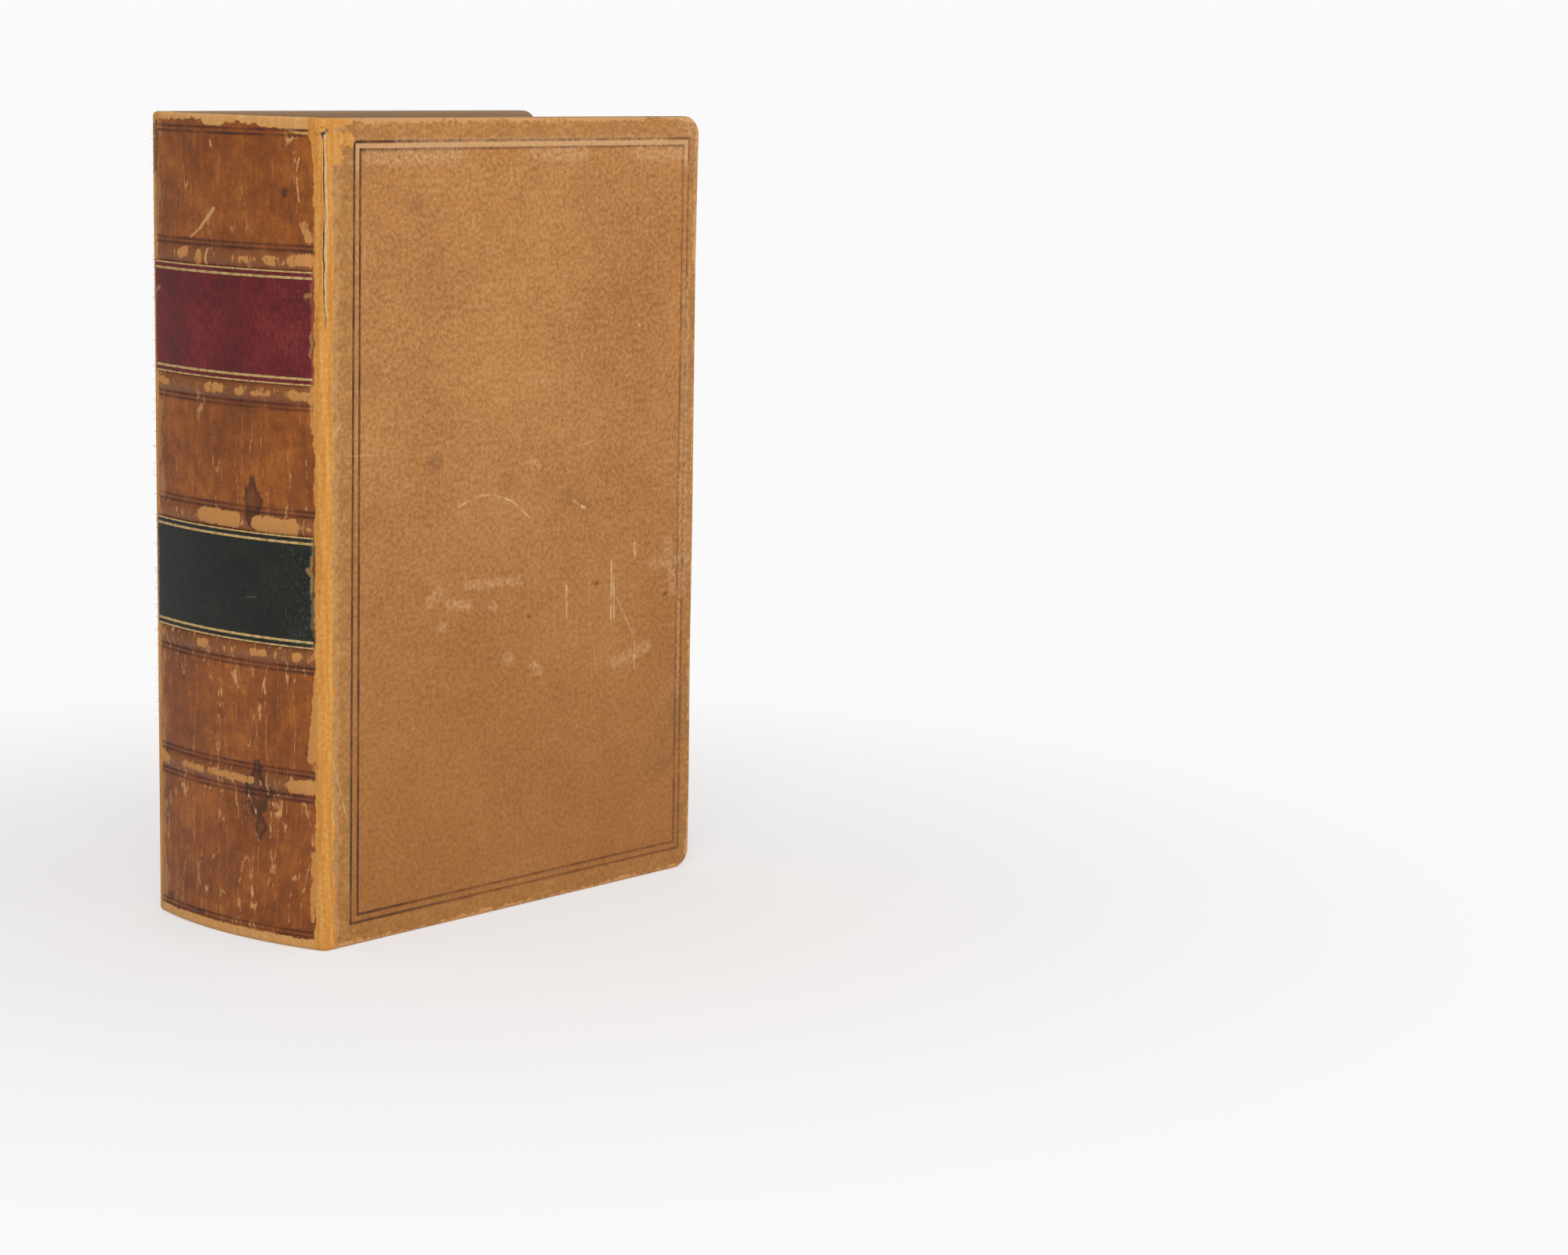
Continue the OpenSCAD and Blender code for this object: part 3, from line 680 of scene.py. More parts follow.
def gold_leaf():
    """Gold leaf struck in with a hot fillet: a warm dull metal with worn breaks."""
    material, tree, shader = new_material("gold_leaf", Metallic=0.55)
    place = add(tree, "ShaderNodeUVMap", uv_map="skin")
    wear = noise(tree, place, 2.0, detail=5.0, rough=0.65)
    colour = ramp(tree, wear, ((0.32, "#9a7440"), (0.5, "#dcb878"), (0.8, "#f2d79c")))
    tree.links.new(colour, shader.inputs["Base Color"])
    rough = add(tree, "ShaderNodeMapRange", {"Value": wear, "To Min": 0.55, "To Max": 0.35})
    tree.links.new(rough, shader.inputs["Roughness"])
    return material


def object_place(tree):
    """Object coordinates in millimetres."""
    metres = add(tree, "ShaderNodeTexCoord", out="Object")
    return add(tree, "ShaderNodeVectorMath", {"Vector": metres, "Scale": 1 / MM},
               operation="SCALE")


def fibrous(name, size, stretch, stops, roughness, depth, detail=5.0):
    """A matt paper, board or thread whose fibres are about size millimetres across."""
    material, tree, shader = new_material(name, Roughness=roughness)
    place = object_place(tree)
    fibre = noise(tree, place, size, detail=detail, rough=0.65, stretch=stretch)
    broad = noise(tree, place, 30.0, detail=4.0)
    tone = calc(tree, "MULTIPLY_ADD", broad, 0.6, fibre)
    tree.links.new(ramp(tree, tone, stops), shader.inputs["Base Color"])
    relief(tree, shader, fibre, 0.5, depth)
    return material


def page_edges():
    """Cut edges of rag paper, browned by light and dust: leaves 0.12 mm thick, drawn as bands
    of about 0.35 mm so that they show."""
    material, tree, shader = new_material("page_edges", Roughness=0.88)
    place = object_place(tree)
    leaves = noise(tree, place, 0.35, detail=3.0, rough=0.7, stretch=(0.008, 1, 0.008))
    groups = noise(tree, place, 2.5, detail=4.0, rough=0.6, stretch=(0.03, 1, 0.03))
    foxing = noise(tree, place, 30.0, detail=2.0)
    tone = weighed(tree, ((leaves, 0.55), (groups, 0.25), (foxing, 0.3)))
    colour = ramp(tree, tone, ((0.43, "#9c7b50"), (0.55, "#c3a577"), (0.67, "#e0c99f")))
    tree.links.new(colour, shader.inputs["Base Color"])
    relief(tree, shader, leaves, 0.7, 0.2)
    return material


def woven(name, thread, dark, light, roughness, gloss=0.0):
    """Plain-woven cloth, with threads at the given spacing in millimetres."""
    material, tree, shader = new_material(name, Roughness=roughness, Sheen_Weight=gloss)
    place = object_place(tree)
    warp = add(tree, "ShaderNodeTexWave", {"Vector": place, "Scale": 0.314 / thread,
               "Distortion": 0.6, "Detail": 1.0}, out="Fac", bands_direction="Y")
    weft = add(tree, "ShaderNodeTexWave", {"Vector": place, "Scale": 0.314 / thread,
               "Distortion": 0.6, "Detail": 1.0}, out="Fac", bands_direction="Z")
    cloth = calc(tree, "MULTIPLY", warp, weft)
    broad = noise(tree, place, 16.0, detail=4.0)
    tone = calc(tree, "MULTIPLY_ADD", cloth, 0.6, broad)
    tree.links.new(ramp(tree, tone, ((0.4, dark), (0.9, light))), shader.inputs["Base Color"])
    relief(tree, shader, cloth, 0.6, 0.12)
    return material


def make_materials():
    """Every finish of the book, by name."""
    level = (1, 1, 1)
    papery = ((0.4, "#d9c8a0"), (0.75, "#e8dcbc"), (1.0, "#f0e7cf"))
    return {
        "cover_calf": cover_calf(),
        "spine_calf": spine_calf(),
        "flesh_side": flesh_side(),
        "title_goat": label_goat("title_goat", "#531416", "#6d1b1d", "#852c2a", "#9a5248",
                                 TITLE_MARKS),
        "author_goat": label_goat("author_goat", "#10140f", "#181d16", "#262b24", "#6e6a4c",
                                  AUTHOR_MARKS),
        "gold_leaf": gold_leaf(),
        "page_edges": page_edges(),
        # Cream wove endpaper: smooth, matt, slightly toned
        "endpaper": fibrous("wove_endpaper", 0.5, level, papery, 0.85, 0.04),
        # Brown kraft paper, with long fibres
        "kraft": fibrous("kraft_paper", 0.7, (1, 1, 0.2),
                         ((0.4, "#8d7148"), (1.0, "#c2a676")), 0.85, 0.08),
        # Fibre board pressed from old rope: grey-brown and hairy
        "millboard": fibrous("millboard", 1.0, level,
                             ((0.4, "#6d5b40"), (1.0, "#a58f6a")), 0.92, 0.15),
        # Strawboard card of the spine and its bands
        "card": fibrous("strawboard_card", 0.8, level,
                        ((0.4, "#84704c"), (1.0, "#b7a078")), 0.9, 0.1),
        "mull": woven("cotton_mull", 0.9, "#b9ab86", "#e6ddc2", 0.9),
        "tape": woven("linen_tape", 0.5, "#a99d80", "#ddd2b4", 0.85),
        "green_cloth": woven("green_book_cloth", 0.45, "#16382a", "#2f5c47", 0.8, 0.1),
        # Silk thread, twisted: a soft gloss along the windings
        "red_silk": fibrous("red_silk", 0.3, (1, 1, 1),
                            ((0.4, "#6e2a20"), (1.0, "#9c4436")), 0.5, 0.05),
        "cream_silk": fibrous("cream_silk", 0.3, (1, 1, 1),
                              ((0.4, "#c9b78c"), (1.0, "#ece0c0")), 0.5, 0.05),
    }


FINISH = make_materials()


def skin_line(local):
    """Place and outward normal, in plan, of the leather at a distance past a joint line; below
    zero it runs back over the spine. This is the half on the side of +Y."""
    local = np.asarray(local, float)
    on_spine = local <= -JOINT_BACK
    on_cover = local >= JOINT_FLAT
    spine_turn = END_ANGLE + local / SPINE_RADIUS
    share = (local + JOINT_BACK) / (JOINT_BACK + JOINT_FLAT)
    joint_turn = JOINT_ANGLE + (math.pi / 2 - JOINT_ANGLE) * np.clip(share, 0, 1)
    turn = np.where(on_spine, spine_turn, joint_turn)
    normal_x, normal_y = -np.cos(turn), np.sin(turn)
    x = np.where(on_spine, SPINE_AXIS + SPINE_RADIUS * normal_x,
                 np.where(on_cover, JOINT_LINE + local, JOINT_X + JOINT_RADIUS * normal_x))
    y = np.where(on_spine, SPINE_RADIUS * normal_y,
                 np.where(on_cover, HALF, HALF - JOINT_RADIUS + JOINT_RADIUS * normal_y))
    return x, y, normal_x, normal_y


def skin_points(local, z, depth, side):
    """Points of the skin in metres, at a depth below the outer surface. Side is -1 for the
    front half and 1 for the back half."""
    x, y, normal_x, normal_y = skin_line(local)
    return np.stack([x - normal_x * depth, side * (y - normal_y * depth), z], -1) * MM


def spaced(start, end, step, lines, reach, fine):
    """Places from start to end about a step apart, with finer ones within reach of each line."""
    places = set(np.linspace(start, end, max(2, round((end - start) / step) + 1)))
    for line in lines:
        places = {p for p in places if abs(p - line) > reach or p in (start, end)}
        count = round(2 * reach / fine)
        places |= {line + reach * (2 * k / count - 1) for k in range(count + 1)}
    return np.array(sorted(p for p in places if start <= p <= end))


def piece_from_grids(name, grids, flip=False, materials=()):
    """A mesh piece from grids of points and UVs, sewn together where their edges meet. A grid
    may say which of its columns are open on their far side."""
    shape = bmesh.new()
    uv_layer = shape.loops.layers.uv.new("skin")
    for points, places, gaps in grids:
        rows, columns = points.shape[:2]
        corners = [[shape.verts.new(points[i, j]) for j in range(columns)] for i in range(rows)]
        for i in range(rows - 1):
            for j in range(columns - 1):
                if j in gaps:
                    continue
                loop = [(i, j), (i, j + 1), (i + 1, j + 1), (i + 1, j)]
                if flip:
                    loop.reverse()
                face = shape.faces.new([corners[a][b] for a, b in loop])
                for corner, (a, b) in zip(face.loops, loop):
                    corner[uv_layer].uv = places[a, b]
    bmesh.ops.remove_doubles(shape, verts=shape.verts, dist=0.002 * MM)
    bmesh.ops.dissolve_degenerate(shape, edges=shape.edges, dist=0.001 * MM)
    mesh = bpy.data.meshes.new(name)
    shape.to_mesh(mesh)
    shape.free()
    piece = placed_object(name, mesh)
    for material in materials:
        mesh.materials.append(material)
    return piece


def finished(piece):
    """Applies a piece's modifiers, and keeps its sharp edges sharp under smooth shading."""
    bpy.context.view_layer.update()
    evaluated = piece.evaluated_get(bpy.context.evaluated_depsgraph_get())
    mesh = bpy.data.meshes.new_from_object(evaluated)
    piece.modifiers.clear()
    piece.data = mesh
    mesh.name = piece.name
    mesh.shade_smooth()
    mesh.set_sharp_from_angle(angle=math.radians(40))
    return piece


def thickened(piece, thickness, inner=0):
    """Gives a sheet its thickness, inwards from its outer face."""
    wall = piece.modifiers.new("thickness", "SOLIDIFY")
    wall.thickness = thickness * MM
    wall.offset = -1
    wall.use_even_offset = False
    wall.material_offset = inner
    wall.material_offset_rim = inner
    return finished(piece)


def wave(place, length, shift=0.0):
    """A gentle irregular wave between -1 and 1."""
    turn = 2 * math.pi * np.asarray(place) / length
    return (np.sin(turn + shift) + 0.6 * np.sin(2.3 * turn + 2 * shift)
            + 0.35 * np.sin(5.1 * turn + 3 * shift)) / 1.95


def frame_relief(local, z):
    """Depth of the frame's blind lines."""
    depth = np.zeros(np.broadcast(local, z).shape)
    for sizes in FRAME_LINES:
        middle = (sizes["left"] + sizes["right"]) / 2
        outside = np.maximum(abs(local - middle) - (sizes["right"] - middle),
                             abs(z - HEIGHT / 2) - (HEIGHT / 2 - sizes["end"]))
        depth = np.maximum(depth, np.clip(1.25 - abs(outside) / LINE_WIDTH * 1.7, 0, 1))
    return -LINE_DEPTH * depth


def split_opening(z):
    """Half the width of the split in the front joint at a height."""
    share = np.clip((z - SPLIT_LOW) / (SPLIT_HIGH - SPLIT_LOW), 0, 1)
    slit = 0.52 * np.sin(math.pi * share) ** 0.35 * (0.9 + 0.25 * wave(z, 21.0))
    hole = 1.9 * np.exp(-((z - 250.0) / 1.3) ** 2) * (share > 0) * (share < 1)
    return np.where((share > 0) & (share < 1), slit + hole, 0.0)


def split_drift(z):
    """How far the split wanders sideways at a height."""
    return 0.45 * wave(z, 37.0, 0.7)


def hinge_across(piece):
    """Bakes a piece's placing into its mesh."""
    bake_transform(piece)


def cover_skin(side):
    """The leather of one cover: its face with the framed blind lines, the soft rim, the
    turn-ins with mitred corners, and the strip that runs over the joint onto the spine."""
    front = side < 0
    lefts = [f["left"] for f in FRAME_LINES]
    ends = [f["end"] for f in FRAME_LINES]
    columns = spaced(-SEAM, COVER_WIDTH - CORNER_RADIUS, 2.4,
                     lefts + [FRAME_LINES[1]["right"]], 0.6, 0.15)
    near_joint = spaced(-SEAM, 4.0, 0.45, [], 0, 1)
    columns = np.concatenate([near_joint, columns[columns > 4.4], [BOARD_SETBACK]])
    columns = np.unique(np.round(columns, 6))
    rows = spaced(CORNER_RADIUS, HEIGHT - CORNER_RADIUS, 2.4,
                  ends + [HEIGHT - e for e in ends], 0.6, 0.15)
    gap = []
    pull = np.zeros(len(columns))
    if front:
        before = int(np.searchsorted(columns, SPLIT_AT))
        columns = np.insert(columns, before, [SPLIT_AT, SPLIT_AT])
        away = columns - SPLIT_AT
        pull = np.sign(away) * np.clip(1 - abs(away) / 2.5, 0, 1)
        pull[before], pull[before + 1] = -1.0, 1.0
        gap = [before]

    rim = [(inset, 0.0, inset) for inset in
           (6.0, 5.85, 5.7, 5.55, 5.4, 5.25, 5.1, 4.95, 4.8, 4.65, 4.0, 3.2, 2.3, 1.5)]
    quarter = [math.radians(a) for a in (22.5, 45, 67.5, 90)]
    rim += [(EDGE_RADIUS * (1 - math.sin(a)), EDGE_RADIUS * (1 - math.cos(a)),
             EDGE_RADIUS * (1 - a)) for a in quarter]
    rolled = len(rim)
    flat = COVER_THICKNESS - 2 * EDGE_RADIUS
    turned = EDGE_RADIUS * (1 - math.pi / 2) - flat
    rim += [(0.0, COVER_THICKNESS - EDGE_RADIUS, turned)]
    rim += [(EDGE_RADIUS * (1 - math.cos(a)), COVER_THICKNESS - EDGE_RADIUS * (1 - math.sin(a)),
             turned - EDGE_RADIUS * a) for a in quarter]
    turned -= EDGE_RADIUS * math.pi / 2
    rim += [(inset, COVER_THICKNESS, turned - inset + EDGE_RADIUS)
            for inset in (3.0, 6.0, 10.0, TURN_IN)]

    def rim_point(stop, inset):
        kind, value = stop
        reach = max(CORNER_RADIUS, inset)
        curve = CORNER_RADIUS - inset if inset < CORNER_RADIUS else 0.0
        if kind == "tail":
            return min(value, COVER_WIDTH - reach), inset
        if kind == "head":
            return min(value, COVER_WIDTH - reach), HEIGHT - inset
        if kind == "fore":
            return COVER_WIDTH - inset, min(max(value, reach), HEIGHT - reach)
        base = reach if value < 0 else HEIGHT - reach
        return COVER_WIDTH - reach + curve * math.cos(value), base + curve * math.sin(value)

    def lay(local, z, depth, u, v, pulls, gaps):
        """One grid, leaned, split and pressed, with its UVs on the unrolled skin."""
        face = depth <= 0
        lean = np.interp(local, LEAN_AT, LEAN_BY) * (z / HEIGHT * 2 - 1)
        relief = np.where(face, frame_relief(local, z), 0.0)
        edge = np.clip(1 - (COVER_WIDTH - local) / 8, 0, 1)
        moved = local + lean + edge * np.interp(z, WORN_AT, WORN_BY)
        if front:
            drift = split_drift(z) * np.clip(1 - abs(local - SPLIT_AT) / 3, 0, 1)
            opening = split_opening(z)
            moved = moved + drift + pulls * opening
            lip = np.exp(-(abs(local - SPLIT_AT) / 0.8) ** 2) * np.clip(opening / 0.3, 0, 1)
            relief = relief + 0.16 * lip
        points = skin_points(moved, z, depth - relief, side)
        along = u if front else -SPINE_ARC - u
        return points, np.stack([along, v], -1), gaps

    grids = []
    local, z = np.meshgrid(columns, rows)
    grids.append(lay(local, z, np.zeros_like(z), local, z, pull[None, :], gap))
    at_joint = columns[columns <= BOARD_SETBACK + 1e-6]
    joint_pull = pull[:len(at_joint)][None, :]
    steps = np.array(rim[:rolled])
    for head in (False, True):
        local, inset = np.meshgrid(at_joint, steps[:, 0])
        depth = np.broadcast_to(steps[:, 1][:, None], local.shape)
        spread = np.broadcast_to(steps[:, 2][:, None], local.shape)
        z = HEIGHT - inset if head else inset
        v = HEIGHT - spread if head else spread
        grid = lay(local, z, depth, local, v, joint_pull, gap)
        grids.append(tuple(a[::-1] if isinstance(a, np.ndarray) and not head else a
                           for a in grid))

    path = [("tail", c) for c in columns if c >= BOARD_SETBACK - 1e-6]
    path += [("corner", math.radians(a)) for a in range(-80, 0, 10)]
    path += [("fore", r) for r in rows]
    path += [("corner", math.radians(a)) for a in range(10, 90, 10)]
    path += [("head", c) for c in columns[::-1] if c >= BOARD_SETBACK - 1e-6]
    place = np.array([[rim_point(stop, inset) for stop in path] for inset, _, _ in rim])
    spread = np.array([[rim_point(stop, e) for stop in path] for _, _, e in rim])
    depth = np.array([[d] * len(path) for _, d, _ in rim])
    grid = lay(place[..., 0], place[..., 1], depth, spread[..., 0], spread[..., 1],
               np.zeros(len(path))[None, :], [])
    grids.append(tuple(a[::-1] if isinstance(a, np.ndarray) else a for a in grid))

    word = "front" if front else "back"
    piece = piece_from_grids(word + "_cover_calf", grids, flip=not front,
                             materials=(FINISH["cover_calf"], FINISH["flesh_side"]))
    thickened(piece, LEATHER, inner=1)
    hinge_across(piece)
    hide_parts(word + "_leather")


def split_lining():
    """The pale hide that shows in the split, along its lip on the cover's side, and the curl
    of torn leather at its head."""
    heights = np.linspace(SPLIT_LOW + 3.0, 248.9, 90)
    share, z = np.meshgrid(np.linspace(0, 1, 5), heights)
    near = SPLIT_AT + split_drift(z) + 0.02 + 0.14 * wave(z, 8.0)
    far = SPLIT_AT + split_drift(z) + split_opening(z) + 0.3
    local = near + share * (far - near)
    rise = 0.5 * np.sin(math.pi / 2 * share) + 0.06 * wave(z, 5.0)
    points = skin_points(local, z, 0.2 - rise, -1)
    piece = piece_from_grids("split_joint_lining", [(points, np.stack([local, z], -1), [])],
                             materials=(FINISH["flesh_side"],))
    thickened(piece, 0.25)
    hinge_across(piece)

    turn, along = np.meshgrid(np.radians(np.linspace(-60, 330, 22)), np.linspace(0, 1, 12))
    reach = 0.95 - 0.35 * (turn - turn.min()) / (turn.max() - turn.min())
    reach = reach * (1 + 0.2 * wave(along, 0.8)) * (0.55 + 0.45 * np.sin(math.pi * along) ** 0.5)
    local = -2.8 + 3.6 * along + 0.2 * np.cos(turn)
    points = skin_points(local, 250.2 + 1.6 * (along - 0.5) + reach * np.sin(turn),
                         0.1 - reach * np.cos(turn), -1)
    curl = piece_from_grids("split_joint_curl", [(points, np.stack([local, turn], -1), [])],
                            flip=True, materials=(FINISH["cover_calf"], FINISH["flesh_side"]))
    thickened(curl, 0.3, inner=1)
    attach(curl, "book_block")


def fibre_tree():
    """Scatters short bent fibres over a patch, along its normals and leaning about."""
    tree, given = new_tree("torn_fibres", (
        ("Spacing", "Float", 0.5 * MM), ("Length", "Float", 1.2 * MM),
        ("Thickness", "Float", 0.06 * MM), ("Seed", "Int", 3), ("Hide", "Material", None)))
    density = calc(tree, "POWER", given["Spacing"], -2.0)
    roots = add(tree, "GeometryNodeDistributePointsOnFaces", {"Mesh": given["Geometry"],
                "Density": density, "Seed": given["Seed"]}, out="Points")
    lean = add(tree, "FunctionNodeRandomValue", {"Min": (-0.9, -0.9, -3.0),
               "Max": (0.9, 0.9, 3.0), "Seed": given["Seed"]}, data_type="FLOAT_VECTOR")
    turn = add(tree, "FunctionNodeRotateRotation", {
        "Rotation": roots.node.outputs["Rotation"],
        "Rotate By": add(tree, "FunctionNodeEulerToRotation", {"Euler": lean})},
        rotation_space="LOCAL")
    size = add(tree, "FunctionNodeRandomValue", {"Min_001": 0.35, "Max_001": 1.0,
               "Seed": given["Seed"]}, out="Value_001")
    size = calc(tree, "MULTIPLY", size, given["Length"])
    line = add(tree, "GeometryNodeCurveQuadraticBezier", {"Resolution": 4,
               "Start": (0, 0, 0), "Middle": (0.05, 0, 0.6), "End": (0.45, 0.1, 0.9)})
    fibres = add(tree, "GeometryNodeInstanceOnPoints", {"Points": roots, "Instance": line,
                 "Rotation": turn, "Scale": size})
    fibres = add(tree, "GeometryNodeRealizeInstances", {"Geometry": fibres})
    section = add(tree, "GeometryNodeCurvePrimitiveCircle", {"Resolution": 3,
                  "Radius": given["Thickness"]}, out="Curve")
    threads = add(tree, "GeometryNodeCurveToMesh", {"Curve": fibres, "Profile Curve": section,
                  "Fill Caps": True})
    end_tree(tree, add(tree, "GeometryNodeSetMaterial", {"Geometry": threads,
             "Material": given["Hide"]}))
    return tree


def torn_fibres(name, tree, patches, side, values):
    """Fibres over narrow upright patches of the skin: from and to along it and up it."""
    grids = []
    for near, far, low, high in patches:
        local, z = np.meshgrid([near, far], np.linspace(low, high, 12))
        grids.append((skin_points(local, z, 0.1, side), np.stack([local, z], -1), []))
    base = piece_from_grids(name + "_patch", grids, flip=side > 0)
    piece = grown(name, tree, base, values)
    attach(piece, "book_block")


def band_relief(local, z):
    """Height of the raised bands over the spine's surface."""
    radius = ((BAND_WIDTH / 2) ** 2 + BAND_HEIGHT ** 2) / (2 * BAND_HEIGHT)
    total = np.zeros(np.broadcast(local, z).shape)
    from_end = -local - JOINT_BACK - BAND_INSET
    ramp_share = np.clip(from_end / (BAND_HEIGHT / math.tan(math.radians(28))), 0, 1)
    for band in range(BAND_COUNT):
        across = np.clip(abs(z - BAND_BASE - band * BAND_PITCH), 0, radius * 0.95)
        arch = np.sqrt(radius ** 2 - across ** 2) - (radius - BAND_HEIGHT)
        soft = 0.5 * (arch + np.sqrt(arch ** 2 + 0.02)) - 0.07
        total = np.maximum(total, np.where(across < radius * 0.94, soft, 0) * ramp_share)
    return np.maximum(total, 0)


def spine_relief(local, z):
    """The bands, and the blind lines pressed in beside them and at the ends."""
    total = band_relief(local, z) * 0.97
    inside = np.clip((-local - JOINT_BACK - 3.0) / 0.3, 0, 1)
    for height in spine_line_heights():
        total = total - inside * LINE_DEPTH * np.clip(1.3 - abs(z - height) / 0.28, 0, 1)
    return total - 0.05 * (1 + wave(z + 3 * local, 33.0))


def spine_skin():
    """The leather of the spine over its card and bands, folded over at head and tail."""
    to_middle = -SPINE_ARC / 2
    half = np.concatenate([[-SEAM, -3.7, -JOINT_BACK - CARD_INSET],
                           np.arange(-4.8, -8.0, -0.5), np.linspace(-8.5, to_middle, 18)])
    reach = spaced(EDGE_RADIUS, HEIGHT - EDGE_RADIUS, 2.6, spine_line_heights(), 0.5, 0.125)
    bands = [BAND_BASE + k * BAND_PITCH for k in range(BAND_COUNT)]
    crests = np.concatenate([b + np.linspace(-3.2, 3.2, 17) for b in bands])
    rows = np.unique(np.round(np.concatenate([reach, crests]), 3))
    face = [(z, 0.0, z) for z in rows]
    fold = 2 * EDGE_RADIUS
    turns = [math.radians(a) for a in (22.5, 45, 67.5, 90)]
    more = [math.radians(a) for a in (112.5, 135, 157.5, 180)]

    def rolled(angles, head):
        return [(HEIGHT - EDGE_RADIUS + EDGE_RADIUS * math.sin(a) if head
                 else EDGE_RADIUS - EDGE_RADIUS * math.sin(a),
                 EDGE_RADIUS * (1 - math.cos(a)),
                 HEIGHT - EDGE_RADIUS + EDGE_RADIUS * a if head
                 else EDGE_RADIUS - EDGE_RADIUS * a) for a in angles]

    head_roll = rolled(turns, True)
    tail_roll = rolled(turns, False)[::-1]
    unrolled = EDGE_RADIUS * (math.pi - 1)
    inner = [3.0, 6.0, 10.0, TURN_IN]
    head_in = rolled(more, True) + [(HEIGHT - i, fold, HEIGHT + unrolled + i) for i in inner]
    tail_in = rolled(more, False) + [(i, fold, -unrolled - i) for i in inner]
    grids = []
    for side in (-1, 1):
        for columns, section in (
                (half[:3], tail_roll + face + head_roll),
                (half[2:], tail_in[::-1] + tail_roll + face + head_roll + head_in)):
            section = np.array(section)
            local, z = np.meshgrid(columns, section[:, 0])
            depth = np.broadcast_to(section[:, 1][:, None], local.shape)
            v = np.broadcast_to(section[:, 2][:, None], local.shape)
            relief = np.where(depth <= 0, spine_relief(local, z), 0)
            points = skin_points(local, z, depth - relief, side)
            along = local if side < 0 else -SPINE_ARC - local
            grid = (points, np.stack([along, v], -1), [])
            if side > 0:
                grid = tuple(a[:, ::-1] if isinstance(a, np.ndarray) else a for a in grid)
            grids.append(grid)
    piece = piece_from_grids("spine_calf", grids, flip=True,
                             materials=(FINISH["spine_calf"], FINISH["flesh_side"]))
    thickened(piece, LEATHER, inner=1)
    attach(piece, "book_block")
    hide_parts("spine_leather")


def label_piece(node, finish):
    """A pared leather label, pasted between two bands, with a pair of gilt lines at each edge."""
    low, high = solid_box(node)
    first = -JOINT_BACK - LABEL_INSET
    columns = np.linspace(first, -SPINE_ARC - first, 61)
    rows = np.linspace(low.z, high.z, 29)
    along, z = np.meshgrid(columns, rows)

    def on_spine(along, z, depth):
        turn = END_ANGLE + along / SPINE_RADIUS
        reach = SPINE_RADIUS - depth
        return np.stack([SPINE_AXIS - reach * np.cos(turn), -reach * np.sin(turn), z], -1) * MM

    ragged_end = 0.35 * (1 + wave(z, 9.0)) * (along > -8) * (along + 8) / 4
    inwards = np.where(z > (low.z + high.z) / 2, -1, 1)
    ragged_rows = 0.12 * abs(wave(along, 23.0)) * inwards
    at_edge = (z == rows[0]) | (z == rows[-1])
    points = on_spine(along - ragged_end, z + np.where(at_edge, ragged_rows, 0),
                      -LABEL_THICKNESS + 0.02 * wave(along + z, 7.0))
    grid = (points, np.stack([along, z], -1), [])
    piece = piece_from_grids(node + "_goat", [grid], flip=True, materials=(finish,))
    thickened(piece, LABEL_THICKNESS)
    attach(piece, "book_block")
    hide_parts(node)

    grids = []
    lines = [(low.z + inset, width) for inset, width in GILT_LINES]
    lines += [(high.z - inset, width) for inset, width in reversed(GILT_LINES)]
    for height, width in lines:
        columns = np.linspace(first - 0.4, -SPINE_ARC - first + 0.4, 121)
        along, share = np.meshgrid(columns, (-1, 1))
        worn = width * (0.85 + 0.15 * wave(along, 5.0, height))
        z = height + share * worn
        grids.append((on_spine(along, z, -LABEL_THICKNESS - 0.03),
                      np.stack([along, z], -1), []))
    gilt = piece_from_grids(node + "_gilt_lines", grids, flip=True,
                            materials=(FINISH["gold_leaf"],))
    thickened(gilt, 0.05)
    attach(gilt, "book_block")


def new_tree(name, inputs):
    """An empty Geometry Nodes tree with a geometry input and output and the named inputs."""
    tree = bpy.data.node_groups.new(name, "GeometryNodeTree")
    tree.interface.new_socket("Geometry", in_out="INPUT", socket_type="NodeSocketGeometry")
    for label, kind, value in inputs:
        socket = tree.interface.new_socket(label, in_out="INPUT",
                                           socket_type="NodeSocket" + kind)
        if value is not None:
            socket.default_value = value
    tree.interface.new_socket("Geometry", in_out="OUTPUT", socket_type="NodeSocketGeometry")
    given = tree.nodes.new("NodeGroupInput").outputs
    return tree, given


def end_tree(tree, geometry):
    """Ends a tree at its output."""
    tree.links.new(geometry, tree.nodes.new("NodeGroupOutput").inputs["Geometry"])


def grown(name, tree, base, values):
    """Runs a tree on a base object, and returns the result as a plain mesh piece."""
    modifier = base.modifiers.new(tree.name, "NODES")
    modifier.node_group = tree
    for item in tree.interface.items_tree:
        if item.in_out == "INPUT" and item.name in values:
            modifier[item.identifier] = values[item.name]
    bpy.context.view_layer.update()
    evaluated = base.evaluated_get(bpy.context.evaluated_depsgraph_get())
    mesh = bpy.data.meshes.new_from_object(evaluated)
    bpy.data.objects.remove(base)
    mesh.name = name
    piece = placed_object(name, mesh)
    mesh.shade_smooth()
    mesh.set_sharp_from_angle(angle=math.radians(50))
    return piece


